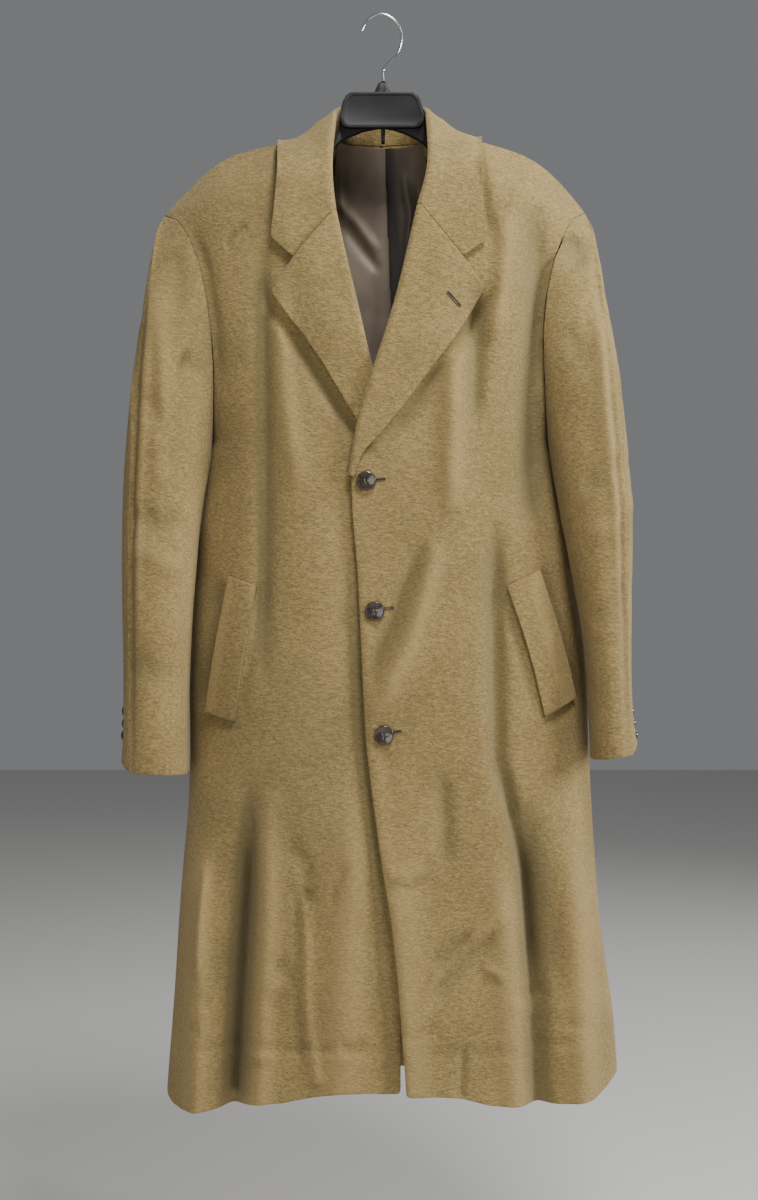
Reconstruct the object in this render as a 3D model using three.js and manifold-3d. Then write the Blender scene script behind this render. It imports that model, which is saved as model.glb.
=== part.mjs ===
// An overcoat hanging on its hanger. Millimetres, +Z up, the front of the coat looks along -Y.
// The origin is where the hook hangs. "Left" and "right" in names are the wearer's own sides,
// so the right side of the coat lies at -X.
import * as THREE from 'three';
import Module from 'manifold-3d';

const wasm = await Module();
wasm.setup();

// Main sizes of the cloth and its making.
const clothWall = 2.6;
const seamGap = 0.32;
const collarWall = 2.6;
const collarClear = 1.4;
const liningWall = 1.2;
const liningClear = 1.15;
const weltWall = 2.2;
const weltClear = 0.95;
const underlapStep = 4.2;
const crossingStep = 5.0;

// Depth of the hanging coat in front of and behind the hanger.
const frontDepth = [
  { z: -1400, depth: 84 },
  { z: -1150, depth: 82 },
  { z: -900, depth: 78 },
  { z: -700, depth: 78 },
  { z: -520, depth: 84 },
  { z: -350, depth: 84 },
  { z: -100, depth: 78 },
];
const backDepth = [
  { z: -1400, depth: 66 },
  { z: -1150, depth: 62 },
  { z: -900, depth: 58 },
  { z: -700, depth: 60 },
  { z: -520, depth: 70 },
  { z: -350, depth: 78 },
  { z: -100, depth: 74 },
];
const sectionPower = 2.4;
const roofPower = 2.2;
const roofHeight = 90;

// Half widths of the body at its side seams.
const bodyWidth = [
  { z: -1400, right: 266, left: 300 },
  { z: -1335, right: 265, left: 297 },
  { z: -1220, right: 256, left: 288 },
  { z: -1150, right: 252, left: 276 },
  { z: -1060, right: 246, left: 269 },
  { z: -970, right: 238, left: 264 },
  { z: -943, right: 236.5, left: 261 },
  { z: -900, right: 239, left: 262 },
  { z: -826, right: 240, left: 261 },
  { z: -769, right: 238, left: 256 },
  { z: -722, right: 235, left: 248.5 },
  { z: -680, right: 231.5, left: 240.5 },
  { z: -640, right: 227, left: 231.5 },
  { z: -600, right: 220, left: 222 },
  { z: -580, right: 214, left: 216 },
  { z: -562, right: 208, left: 210 },
  { z: -538, right: 207, left: 208 },
  { z: -440, right: 232, left: 226 },
  { z: -340, right: 256, left: 246 },
  { z: -249, right: 275, left: 262 },
  { z: -100, right: 280, left: 268 },
];

// How far behind the hanger's line the side seams hang, where the sleeves lie over them.
const sideBack = [
  { z: -1120, back: 0 },
  { z: -1000, back: 10 },
  { z: -920, back: 20 },
  { z: -840, back: 22 },
  { z: -660, back: 22 },
  { z: -610, back: 17 },
  { z: -570, back: 8 },
  { z: -540, back: 0 },
];

// Top line of the shoulders, out from the middle.
const shoulderTop = [
  { out: 0, right: -141, left: -139 },
  { out: 60, right: -151, left: -149 },
  { out: 117, right: -161, left: -158 },
  { out: 163, right: -171, left: -171 },
  { out: 187, right: -179, left: -181 },
  { out: 211, right: -194, left: -198 },
  { out: 238, right: -220, left: -226 },
  { out: 254, right: -235, left: -245 },
  { out: 268, right: -250, left: -262 },
  { out: 290, right: -276, left: -290 },
];

// Armhole seams: how far out the front and back seams lie at each height.
const armholeRight = [
  { z: -252, front: 267, back: 267 },
  { z: -262, front: 249, back: 256 },
  { z: -287, front: 233, back: 240 },
  { z: -321, front: 220, back: 228 },
  { z: -362, front: 211, back: 219 },
  { z: -410, front: 205, back: 211 },
  { z: -451, front: 202, back: 207 },
  { z: -495, front: 203, back: 206 },
  { z: -524, front: 206, back: 206 },
  { z: -538, front: 207, back: 207 },
];
const armholeLeft = [
  { z: -250, front: 253, back: 253 },
  { z: -261, front: 237, back: 243 },
  { z: -281, front: 225, back: 233 },
  { z: -314, front: 212, back: 222 },
  { z: -356, front: 203, back: 213 },
  { z: -400, front: 199, back: 207 },
  { z: -452, front: 200, back: 205 },
  { z: -500, front: 203, back: 206 },
  { z: -530, front: 207, back: 207 },
  { z: -545, front: 208, back: 208 },
];
const armholeRows = 10;

// Fronts: the edge, then the roll line of the lapel, then the neck, from the hem upwards.
const frontEdgeRight = [
  { z: -1400, x: 25 },
  { z: -1317, x: 25 },
  { z: -800, x: 26 },
  { z: -581, x: 27 },
];
const frontEdgeLeft = [
  { z: -1400, x: 33 },
  { z: -1317, x: 31 },
  { z: -1275, x: 28 },
  { z: -1225, x: 24 },
  { z: -1150, x: 18 },
  { z: -1100, x: 11 },
  { z: -1035, x: 0 },
  { z: -945, x: -12 },
  { z: -890, x: -18 },
  { z: -830, x: -21 },
  { z: -760, x: -24 },
  { z: -695, x: -27 },
  { z: -632, x: -33 },
  { z: -581, x: -35 },
];
const rollRight = [
  { z: -581, x: 27 },
  { z: -538, x: 14 },
  { z: -500, x: 3 },
  { z: -463, x: -8 },
  { z: -443, x: -16 },
  { z: -405, x: -24 },
  { z: -362, x: -34 },
  { z: -326, x: -43 },
  { z: -290, x: -51 },
  { z: -263, x: -57 },
];
const rollLeft = [
  { z: -581, x: -35 },
  { z: -540, x: -29 },
  { z: -500, x: -20 },
  { z: -463, x: -8 },
  { z: -435, x: 2 },
  { z: -405, x: 12 },
  { z: -375, x: 21 },
  { z: -344, x: 29 },
  { z: -300, x: 39 },
  { z: -256, x: 49 },
];
const neckCentre = 1.5;
const neckHalfWidth = 67.5;
const neckBackDepth = 50;

// Outline of the lapels and the collar ends, as places on the fronts.
const lapelEdgeRight = [
  { z: -581, x: 22 },
  { z: -557, x: 5 },
  { z: -516, x: -26 },
  { z: -470, x: -54 },
  { z: -424, x: -82 },
  { z: -388, x: -110 },
  { z: -358, x: -131 },
];
const lapelEdgeLeft = [
  { z: -581, x: -31 },
  { z: -556, x: -24 },
  { z: -508, x: 19 },
  { z: -463, x: 52 },
  { z: -410, x: 92 },
  { z: -378, x: 111 },
  { z: -353, x: 126 },
];
const gorgeNotchRight = { x: -104, z: -318 };
const gorgeNotchLeft = { x: 99, z: -317 };

// Stand of the collar from a gorge to the middle of the back: how it leans and its height.
const collarStand = [
  { into: 1, up: 0, height: 6 },
  { into: 0.95, up: 0.3, height: 9 },
  { into: 0.6, up: 0.8, height: 22 },
  { into: 0.2, up: 1, height: 42 },
  { into: 0.12, up: 1, height: 48 },
  { into: 0.06, up: 1, height: 50 },
  { into: 0.06, up: 1, height: 51 },
];
// Outer edge of the collar beside each of those places.
const collarEdge = [
  { x: -127, y: -79, z: -256 },
  { x: -121, y: -66, z: -221 },
  { x: -118, y: -38, z: -186 },
  { x: -118, y: 2, z: -156 },
  { x: -102, y: 44, z: -165 },
  { x: -58, y: 68, z: -173 },
  { x: 2, y: 75, z: -176 },
  { x: 61, y: 68, z: -173 },
  { x: 102, y: 44, z: -163 },
  { x: 115, y: 2, z: -153 },
  { x: 116, y: -38, z: -184 },
  { x: 119, y: -66, z: -224 },
  { x: 124, y: -80, z: -268 },
];
const collarTipRight = { x: -131.5, z: -293 };
const collarTipLeft = { x: 127.5, z: -296 };

// Welt pockets: corners of each welt as places on the fronts.
const weltRight = {
  top: [{ x: -184, z: -699.5 }, { x: -148, z: -712.4 }],
  low: [{ x: -215, z: -866.5 }, { x: -176, z: -878.5 }],
  bow: -3,
};
const weltLeft = {
  top: [{ x: 153, z: -712 }, { x: 194, z: -692 }],
  low: [{ x: 200, z: -871.5 }, { x: 242, z: -848.5 }],
  bow: 4,
};

// Buttons.
const frontButtonSize = { radius: 12, thick: 4.4, rim: 2.6, dish: 1.2, hole: 1.1, holeOut: 2.9 };
const frontButtons = [
  { x: -16.5, z: -586 },
  { x: -6.4, z: -742 },
  { x: 4.8, z: -891 },
];
const cuffButtonSize = { radius: 6.6, thick: 3.4, rim: 1.6, dish: 0.8 };
const cuffButtonHeights = [-866, -881, -896];
const cuffButtonColumn = 6.9;

// Hanger: top, bottom and half depth at each place along it.
const hangerSections = [
  { x: -208, top: -199, bottom: -206, half: 8 },
  { x: -203, top: -195, bottom: -206, half: 11 },
  { x: -187, top: -185, bottom: -198, half: 12 },
  { x: -163, top: -176, bottom: -190, half: 12 },
  { x: -117, top: -165, bottom: -179, half: 10 },
  { x: -80, top: -160, bottom: -173, half: 8 },
  { x: -66, top: -164.5, bottom: -171, half: 7 },
  { x: -59, top: -167.2, bottom: -171, half: 6.3 },
  { x: -54.5, top: -154, bottom: -164, half: 6 },
  { x: -50.5, top: -138, bottom: -161, half: 5.2 },
  { x: -49, top: -118, bottom: -159, half: 4.6 },
  { x: -46, top: -106, bottom: -157, half: 4.5 },
  { x: -40, top: -100.5, bottom: -154, half: 4.5 },
  { x: -22, top: -99, bottom: -146.5, half: 4.5 },
  { x: -8.5, top: -98.6, bottom: -143.5, half: 4.6 },
  { x: -2, top: -85, bottom: -142.5, half: 5 },
  { x: 0.9, top: -83, bottom: -142.5, half: 5.2 },
  { x: 1.5, top: -82.6, bottom: -161, half: 5.2 },
  { x: 6, top: -82.6, bottom: -161, half: 5.2 },
  { x: 6.6, top: -83, bottom: -142.5, half: 5.2 },
  { x: 9.5, top: -85, bottom: -143, half: 5 },
  { x: 15.5, top: -98.6, bottom: -143.8, half: 4.6 },
  { x: 29, top: -99, bottom: -148, half: 4.5 },
  { x: 46, top: -100.5, bottom: -156, half: 4.5 },
  { x: 51.5, top: -106, bottom: -160, half: 4.5 },
  { x: 54.5, top: -118, bottom: -162, half: 4.6 },
  { x: 55.5, top: -138, bottom: -163.5, half: 5.2 },
  { x: 57.5, top: -153, bottom: -165.5, half: 5.8 },
  { x: 61.5, top: -167, bottom: -171, half: 6.3 },
  { x: 69, top: -163.5, bottom: -172, half: 7 },
  { x: 85, top: -159, bottom: -174, half: 8 },
  { x: 117, top: -163, bottom: -178, half: 10 },
  { x: 163, top: -176, bottom: -190, half: 12 },
  { x: 187, top: -187, bottom: -200, half: 12 },
  { x: 201, top: -197, bottom: -208, half: 11 },
  { x: 205, top: -203, bottom: -210, half: 6 },
];
// The flat plate moulded on the front of the hanger: half width and height of each corner place.
const hangerPlate = {
  middle: 2.6, topHalf: 44, wideHalf: 52, lowHalf: 49, top: -99.6, wideAt: -127, low: -143.3, round: 9,
  front: -13.5, back: -3.5, rim: 3.2, dish: 1.1,
};
const hookWire = 1.6;
const hookPath = [
  { x: 3.7, z: -82.2 },
  { x: 3.7, z: -70 },
  { x: 9.5, z: -61 },
  { x: 20, z: -50 },
  { x: 26, z: -36 },
  { x: 25.5, z: -20 },
  { x: 16, z: -4.5 },
  { x: 0, z: 1.6 },
  { x: -15, z: -5.5 },
  { x: -23, z: -20 },
];

// Largest folds of the fronts: a soft trough (minus) or ridge (plus) from top to bottom.
const frontFolds = [
  { topX: -139, topZ: -300, lowX: -139, lowZ: -840, wide: 17, height: -3.5 },
  { topX: -156, topZ: -950, lowX: -180, lowZ: -1420, wide: 24, height: -11 },
  { topX: -216, topZ: -960, lowX: -222, lowZ: -1420, wide: 22, height: 5 },
  { topX: 116, topZ: -345, lowX: 118, lowZ: -470, wide: 16, height: -4 },
  { topX: 92, topZ: -430, lowX: 88, lowZ: -620, wide: 18, height: 4 },
  { topX: 76, topZ: -660, lowX: -8, lowZ: -880, wide: 20, height: 4 },
  { topX: 138, topZ: -620, lowX: 150, lowZ: -940, wide: 20, height: -4 },
  { topX: 168, topZ: -940, lowX: 190, lowZ: -1420, wide: 24, height: -11 },
  { topX: 240, topZ: -980, lowX: 252, lowZ: -1420, wide: 26, height: 5 },
];

// Sleeves: the outer and the inner line at each ring, and the ring's depth.
const sleeveRight = [
  { outX: -268, outZ: -250, inX: -207, inZ: -538, mid: -2, half: 55 },
  { outX: -277, outZ: -270, inX: -209.5, inZ: -556, mid: -6, half: 57 },
  { outX: -287, outZ: -320, inX: -212.5, inZ: -578, mid: -15, half: 56 },
  { outX: -298, outZ: -389, inX: -217, inZ: -604, mid: -22, half: 54 },
  { outX: -309, outZ: -471, inX: -221, inZ: -633, mid: -28, half: 52 },
  { outX: -315, outZ: -560, inX: -224, inZ: -680, mid: -32, half: 49 },
  { outX: -317, outZ: -650, inX: -227.5, inZ: -722, mid: -34, half: 47 },
  { outX: -317, outZ: -737, inX: -230.5, inZ: -769, mid: -34, half: 46 },
  { outX: -314, outZ: -815, inX: -233, inZ: -826, mid: -34, half: 45 },
  { outX: -314, outZ: -880, inX: -234, inZ: -883, mid: -34, half: 45 },
  { outX: -317, outZ: -937, inX: -234, inZ: -941, mid: -34, half: 45 },
];
const sleeveLeft = [
  { outX: 253, outZ: -247, inX: 208, inZ: -545, mid: -2, half: 55 },
  { outX: 264, outZ: -270, inX: 211, inZ: -562, mid: -8, half: 58 },
  { outX: 275, outZ: -315, inX: 214.5, inZ: -582, mid: -15, half: 58 },
  { outX: 284, outZ: -382, inX: 219, inZ: -608, mid: -22, half: 57 },
  { outX: 297, outZ: -453, inX: 224, inZ: -636, mid: -28, half: 55 },
  { outX: 307, outZ: -564, inX: 232, inZ: -680, mid: -32, half: 52 },
  { outX: 310, outZ: -640, inX: 240.5, inZ: -724, mid: -34, half: 50 },
  { outX: 309, outZ: -745, inX: 248.5, inZ: -775, mid: -34, half: 49 },
  { outX: 307, outZ: -820, inX: 254.5, inZ: -830, mid: -34, half: 48 },
  { outX: 309, outZ: -873, inX: 256.5, inZ: -876, mid: -34, half: 48 },
  { outX: 315, outZ: -914, inX: 258, inZ: -923, mid: -34, half: 48 },
];
const sleevePower = 2.25;
const sleeveTwist = [0, 0.12, 0.3, 0.55, 0.8, 1, 1, 1, 1, 1, 1];
const sleeveBlend = [1, 0.72, 0.42, 0.18, 0.05, 0, 0, 0, 0, 0, 0];
const hindSeamBack = 3;
const foreSeamFront = 7;
const hindSeamAngle = 48;
const foreSeamAngle = 205;
const underCuffRise = 11;

// Hem: how low each front and the back hang, out from the middle.
const hemRight = [
  { out: 0, z: -1321 },
  { out: 60, z: -1320 },
  { out: 110, z: -1333 },
  { out: 160, z: -1337 },
  { out: 200, z: -1346 },
  { out: 225, z: -1350 },
  { out: 250, z: -1349 },
  { out: 265, z: -1338 },
];
const hemLeft = [
  { out: 0, z: -1323 },
  { out: 95, z: -1327 },
  { out: 140, z: -1338 },
  { out: 225, z: -1339 },
  { out: 262, z: -1334 },
  { out: 285, z: -1318 },
  { out: 300, z: -1306 },
];

// Colours of the materials.
const woolColour = 0xa08a5c;
const liningColour = 0x66543f;
const buttonColour = 0x432a1a;
const plasticColour = 0x343233;
const steelColour = 0xc9cbcd;

const object = new THREE.Group();
object.name = 'overcoat';

const clamp = (value, low, high) => Math.min(high, Math.max(low, value));
const mix = (a, b, t) => a + (b - a) * t;

// A smooth value between the rows of a table, by one of its columns.
function along(table, key, at, column) {
  const rows = table[0][key] <= table[table.length - 1][key] ? table : [...table].reverse();
  const last = rows.length - 1;
  if (at <= rows[0][key]) {
    return rows[0][column];
  }
  if (at >= rows[last][key]) {
    return rows[last][column];
  }
  let i = 0;
  while (at > rows[i + 1][key]) {
    i += 1;
  }
  const slope = (j) => {
    const a = Math.max(j - 1, 0);
    const b = Math.min(j + 1, last);
    return (rows[b][column] - rows[a][column]) / (rows[b][key] - rows[a][key]);
  };
  const step = rows[i + 1][key] - rows[i][key];
  const t = (at - rows[i][key]) / step;
  const straight = (rows[i + 1][column] - rows[i][column]) / step;
  const limit = (m) => {
    if (straight === 0 || m * straight <= 0) {
      return 0;
    }
    return Math.sign(straight) * Math.min(Math.abs(m), 3 * Math.abs(straight));
  };
  const m0 = limit(slope(i)) * step;
  const m1 = limit(slope(i + 1)) * step;
  const t2 = t * t;
  const t3 = t2 * t;
  return (2 * t3 - 3 * t2 + 1) * rows[i][column] + (t3 - 2 * t2 + t) * m0
    + (-2 * t3 + 3 * t2) * rows[i + 1][column] + (t3 - t2) * m1;
}

const sideName = (x) => (x < 0 ? 'right' : 'left');
const crestAt = (x) => along(shoulderTop, 'out', Math.abs(x), sideName(x));
const widthAt = (side, z) => along(bodyWidth, 'z', z, side);

// How much of its full depth the coat has near a side seam.
function sideRound(x, z) {
  const share = clamp(Math.abs(x) / widthAt(sideName(x), z), 0, 1);
  return (1 - share ** sectionPower) ** (1 / sectionPower);
}

// How much of its full depth the coat has this far below the shoulder line.
function roofRound(drop) {
  const share = clamp(1 - drop / roofHeight, 0, 1);
  return (1 - share ** roofPower) ** (1 / roofPower);
}

// How far back the cloth is drawn near a side seam.
function sideShift(x, z) {
  const share = clamp(Math.abs(x) / widthAt(sideName(x), z), 0, 1);
  return along(sideBack, 'z', z, 'back') * share ** 6;
}

function foldHeight(x, z) {
  let sum = 0;
  for (const fold of frontFolds) {
    const t = (z - fold.topZ) / (fold.lowZ - fold.topZ);
    const centre = mix(fold.topX, fold.lowX, clamp(t, 0, 1));
    const ends = clamp(Math.min(t, 1 - t) * 5, 0, 1);
    const fade = fold.lowZ < -1400 ? clamp(t * 3, 0, 1) : ends;
    const away = (x - centre) / fold.wide;
    sum += fold.height * fade * Math.exp(-away * away);
  }
  return sum;
}

function frontY(x, z) {
  const full = along(frontDepth, 'z', z, 'depth');
  const near = sideRound(x, z);
  const fold = foldHeight(x, z) * clamp(near * 1.6, 0, 1);
  return -full * near * roofRound(crestAt(x) - z) - fold + sideShift(x, z);
}

function backY(x, z) {
  const full = along(backDepth, 'z', z, 'depth');
  return full * sideRound(x, z) * roofRound(crestAt(x) - z) + sideShift(x, z);
}

// The right front passes behind the left one, deeper where the lapels cross.
function underStep(x, z) {
  const edge = z > -581 ? along(rollLeft, 'z', z, 'x') : along(frontEdgeLeft, 'z', z, 'x');
  const inside = clamp((x - edge + 62) / 56, 0, 1);
  const smooth = inside * inside * (3 - 2 * inside);
  const crossing = clamp((z + 680) / 80, 0, 1) * clamp((-420 - z) / 40, 0, 1);
  return smooth * (underlapStep + crossingStep * crossing * crossing * (3 - 2 * crossing));
}

const rightFront = (x, z) => new THREE.Vector3(x, frontY(x, z) + underStep(x, z), z);
const leftFront = (x, z) => new THREE.Vector3(x, frontY(x, z), z);

// A sheet: a grid of points on the outer face and one outward direction for each.
function sheet(name, rows, look, fixed = []) {
  return { name, rows, look, fixed, out: rows.map((row) => row.map(() => new THREE.Vector3())) };
}

function findDirections(piece) {
  const { rows, out, look } = piece;
  const high = rows.length - 1;
  const wide = rows[0].length - 1;
  for (let r = 0; r <= high; r += 1) {
    for (let c = 0; c <= wide; c += 1) {
      const alongRow = rows[r][Math.min(c + 1, wide)].clone().sub(rows[r][Math.max(c - 1, 0)]);
      const alongColumn = rows[Math.min(r + 1, high)][c].clone().sub(rows[Math.max(r - 1, 0)][c]);
      const known = piece.fixed[r] ? piece.fixed[r][c] : undefined;
      out[r][c].copy(known ?? alongRow.cross(alongColumn).normalize().multiplyScalar(look));
    }
  }
}

const keyOf = (p) => `${p.x.toFixed(2)} ${p.y.toFixed(2)} ${p.z.toFixed(2)}`;

// Sheets that meet at a seam share one direction there, and each stands back by half the gap.
function openSeams(pieces) {
  const meeting = new Map();
  for (const piece of pieces) {
    findDirections(piece);
    const high = piece.rows.length - 1;
    const wide = piece.rows[0].length - 1;
    for (let r = 0; r <= high; r += 1) {
      for (let c = 0; c <= wide; c += 1) {
        if (r === 0 || c === 0 || r === high || c === wide) {
          const key = keyOf(piece.rows[r][c]);
          if (!meeting.has(key)) {
            meeting.set(key, []);
          }
          meeting.get(key).push(piece.out[r][c]);
        }
      }
    }
  }
  for (const group of meeting.values()) {
    const sum = new THREE.Vector3();
    group.forEach((direction) => sum.add(direction));
    sum.normalize();
    group.forEach((direction) => direction.copy(sum));
  }
  for (const piece of pieces) {
    const high = piece.rows.length - 1;
    const wide = piece.rows[0].length - 1;
    const moves = [];
    for (let r = 0; r <= high; r += 1) {
      for (let c = 0; c <= wide; c += 1) {
        const move = new THREE.Vector3();
        const back = (r2, c2) => {
          const isRowEnd = r2 !== r;
          const ahead = isRowEnd ? piece.rows[r][Math.min(c + 1, wide)]
            : piece.rows[Math.min(r + 1, high)][c];
          const behind = isRowEnd ? piece.rows[r][Math.max(c - 1, 0)]
            : piece.rows[Math.max(r - 1, 0)][c];
          const inwards = ahead.clone().sub(behind).cross(piece.out[r][c]).normalize();
          const step = piece.rows[r2][c2].clone().sub(piece.rows[r][c]);
          move.addScaledVector(inwards, Math.sign(inwards.dot(step)) * (seamGap / 2));
        };
        if (r === 0) {
          back(1, c);
        }
        if (r === high) {
          back(high - 1, c);
        }
        if (c === 0) {
          back(r, 1);
        }
        if (c === wide) {
          back(r, wide - 1);
        }
        moves.push({ r, c, move });
      }
    }
    for (const { r, c, move } of moves) {
      piece.rows[r][c] = piece.rows[r][c].clone().add(move);
    }
  }
}

// A closed wall between two grids of the same shape, its faces turned outwards.
function wallBetween(faceRows, backRows) {
  const high = faceRows.length;
  const wide = faceRows[0].length;
  const points = [...faceRows.flat(), ...backRows.flat()];
  const index = [];
  const half = high * wide;
  const at = (r, c) => r * wide + c;
  const quad = (a, b, c, d) => index.push(a, b, c, a, c, d);
  for (let r = 0; r < high - 1; r += 1) {
    for (let c = 0; c < wide - 1; c += 1) {
      quad(at(r, c), at(r, c + 1), at(r + 1, c + 1), at(r + 1, c));
      quad(half + at(r, c), half + at(r + 1, c), half + at(r + 1, c + 1), half + at(r, c + 1));
    }
  }
  const rim = [];
  for (let c = 0; c < wide - 1; c += 1) {
    rim.push([at(0, c), at(0, c + 1)]);
  }
  for (let r = 0; r < high - 1; r += 1) {
    rim.push([at(r, wide - 1), at(r + 1, wide - 1)]);
  }
  for (let c = wide - 1; c > 0; c -= 1) {
    rim.push([at(high - 1, c), at(high - 1, c - 1)]);
  }
  for (let r = high - 1; r > 0; r -= 1) {
    rim.push([at(r, 0), at(r - 1, 0)]);
  }
  const isLower = (a, b) => points[a].z < points[b].z;
  for (const [a, b] of rim) {
    if (isLower(a, b)) {
      index.push(b, a, half + b, a, half + a, half + b);
    } else {
      index.push(b, a, half + a, b, half + a, half + b);
    }
  }
  const geometry = new THREE.BufferGeometry();
  const numbers = points.flatMap((p) => [p.x, p.y, p.z]);
  geometry.setAttribute('position', new THREE.Float32BufferAttribute(numbers, 3));
  let volume = 0;
  for (let i = 0; i < index.length; i += 3) {
    const [a, b, c] = [points[index[i]], points[index[i + 1]], points[index[i + 2]]];
    volume += a.dot(b.clone().cross(c));
  }
  if (volume < 0) {
    for (let i = 0; i < index.length; i += 3) {
      [index[i], index[i + 1]] = [index[i + 1], index[i]];
    }
  }
  geometry.setIndex(index);
  return geometry;
}

function addMesh(name, geometry, colour, roughness, metalness) {
  const material = new THREE.MeshStandardMaterial({ color: colour, roughness, metalness });
  const mesh = new THREE.Mesh(geometry, material);
  mesh.name = name;
  object.add(mesh);
  return mesh;
}

function addCloth(piece, thickness) {
  const back = piece.rows.map((row, r) => row.map((p, c) => (
    p.clone().addScaledVector(piece.out[r][c], -thickness))));
  addMesh(piece.name, wallBetween(piece.rows, back), woolColour, 0.95, 0);
}

// Heights of the rows below the armhole, from the hem up, as shares of the way.
const skirtRows = [0, 0.035, 0.1, 0.18, 0.27, 0.36, 0.45, 0.54, 0.63, 0.72, 0.81, 0.89, 0.955, 1];

function hemAt(x) {
  return along(x < 0 ? hemRight : hemLeft, 'out', Math.abs(x), 'z');
}

function armholeOf(side) {
  return side === 'right' ? armholeRight : armholeLeft;
}

const signOf = (side) => (side === 'right' ? -1 : 1);

// Where the shoulder seam runs: a little in front of the top line.
function shoulderSeam(x) {
  const share = clamp((Math.abs(x) - 60) / 200, 0, 1);
  const drop = mix(9, 2.5, share);
  return new THREE.Vector3(x, frontY(x, crestAt(x) - drop), crestAt(x) - drop);
}

// The armhole from the underarm (0) up to the shoulder seam (armholeRows), front or back.
function armholePoint(side, half, step) {
  const table = armholeOf(side);
  const sign = signOf(side);
  if (step === armholeRows) {
    return shoulderSeam(sign * table[0].front);
  }
  const row = table[table.length - 1 - step];
  const x = sign * row[half];
  const y = half === 'front' ? frontY(x, row.z) : backY(x, row.z);
  if (step === 0) {
    return new THREE.Vector3(x, 0, row.z);
  }
  return new THREE.Vector3(x, y, row.z);
}

const neckPoint = (side) => shoulderSeam(neckCentre + signOf(side) * neckHalfWidth);

// Inner edge of a front: its front edge, then the roll line, then the neck.
function frontInner(side, step) {
  const table = side === 'right' ? rollRight : rollLeft;
  const top = table[table.length - 1];
  const neck = neckPoint(side);
  const neckSteps = 3;
  const rollSteps = armholeRows - neckSteps;
  const base = armholeOf(side)[armholeOf(side).length - 1].z;
  if (step <= rollSteps) {
    const z = mix(base, top.z, step / rollSteps);
    return { x: along(table, 'z', z, 'x'), z };
  }
  const t = (step - rollSteps) / neckSteps;
  return { x: mix(top.x, neck.x, t ** 0.45), z: mix(top.z, neck.z, t ** 0.85) };
}

const frontColumns = 12;

function frontSheet(side) {
  const sign = signOf(side);
  const surface = side === 'right' ? rightFront : leftFront;
  const edge = side === 'right' ? frontEdgeRight : frontEdgeLeft;
  const roll = side === 'right' ? rollRight : rollLeft;
  const base = armholeOf(side)[armholeOf(side).length - 1].z;
  const rows = [];
  for (const share of skirtRows.slice(0, -1)) {
    const row = [];
    for (let c = 0; c <= frontColumns; c += 1) {
      const u = Math.sin((Math.PI / 2) * (c / frontColumns));
      let x = 0;
      let z = mix(-1330, base, share);
      for (let i = 0; i < 3; i += 1) {
        const start = z > -581 ? along(roll, 'z', z, 'x') : along(edge, 'z', z, 'x');
        x = mix(start, sign * widthAt(side, z), u);
        z = mix(hemAt(x), base, share);
      }
      const p = surface(x, z);
      if (c === frontColumns) {
        p.y = along(sideBack, 'z', z, 'back');
      }
      row.push(p);
    }
    rows.push(row);
  }
  for (let step = 0; step <= armholeRows; step += 1) {
    const inner = frontInner(side, step);
    const outer = armholePoint(side, 'front', step);
    const row = [];
    const flat = step / armholeRows;
    for (let c = 0; c <= frontColumns; c += 1) {
      const even = c / frontColumns;
      const u = mix(Math.sin((Math.PI / 2) * even), even, clamp(flat * 2, 0, 1));
      if (c === frontColumns) {
        row.push(outer);
      } else if (step === armholeRows) {
        row.push(shoulderSeam(mix(inner.x, outer.x, u)));
      } else {
        const x = mix(inner.x, outer.x, u);
        let z = mix(inner.z, outer.z, u);
        const lift = crestAt(x) - 3 - z;
        z += Math.min(lift, 0);
        row.push(surface(x, z));
      }
    }
    rows.push(row);
  }
  return sheet(`front_${side}`, rows, side === 'right' ? -1 : 1);
}

// Back panels: from the centre-back seam to the side seam, armhole and shoulder seam.
const neckColumns = 4;
const backColumns = neckColumns + frontColumns;

function backNeck(side, t) {
  const neck = neckPoint(side);
  const centre = new THREE.Vector3(neckCentre, neckBackDepth + 4, crestAt(0) - 12);
  const angle = (Math.PI / 2) * t;
  const x = mix(centre.x, neck.x, Math.sin(angle));
  const y = mix(neck.y, centre.y, Math.cos(angle) ** 0.8);
  const z = mix(centre.z, neck.z, t * t);
  return new THREE.Vector3(x, y, z);
}

function overShoulder(x, step) {
  const seam = shoulderSeam(x);
  const crest = crestAt(x);
  const backDrop = 22;
  const low = new THREE.Vector3(x, backY(x, crest - backDrop), crest - backDrop);
  if (step === 0) {
    return low;
  }
  if (step === 3) {
    return seam;
  }
  const drop = step === 1 ? 7 : 1.2;
  const y = step === 1 ? backY(x, crest - 7) : mix(seam.y, backY(x, crest - 7), 0.36);
  return new THREE.Vector3(x, y, crest - drop);
}

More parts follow.
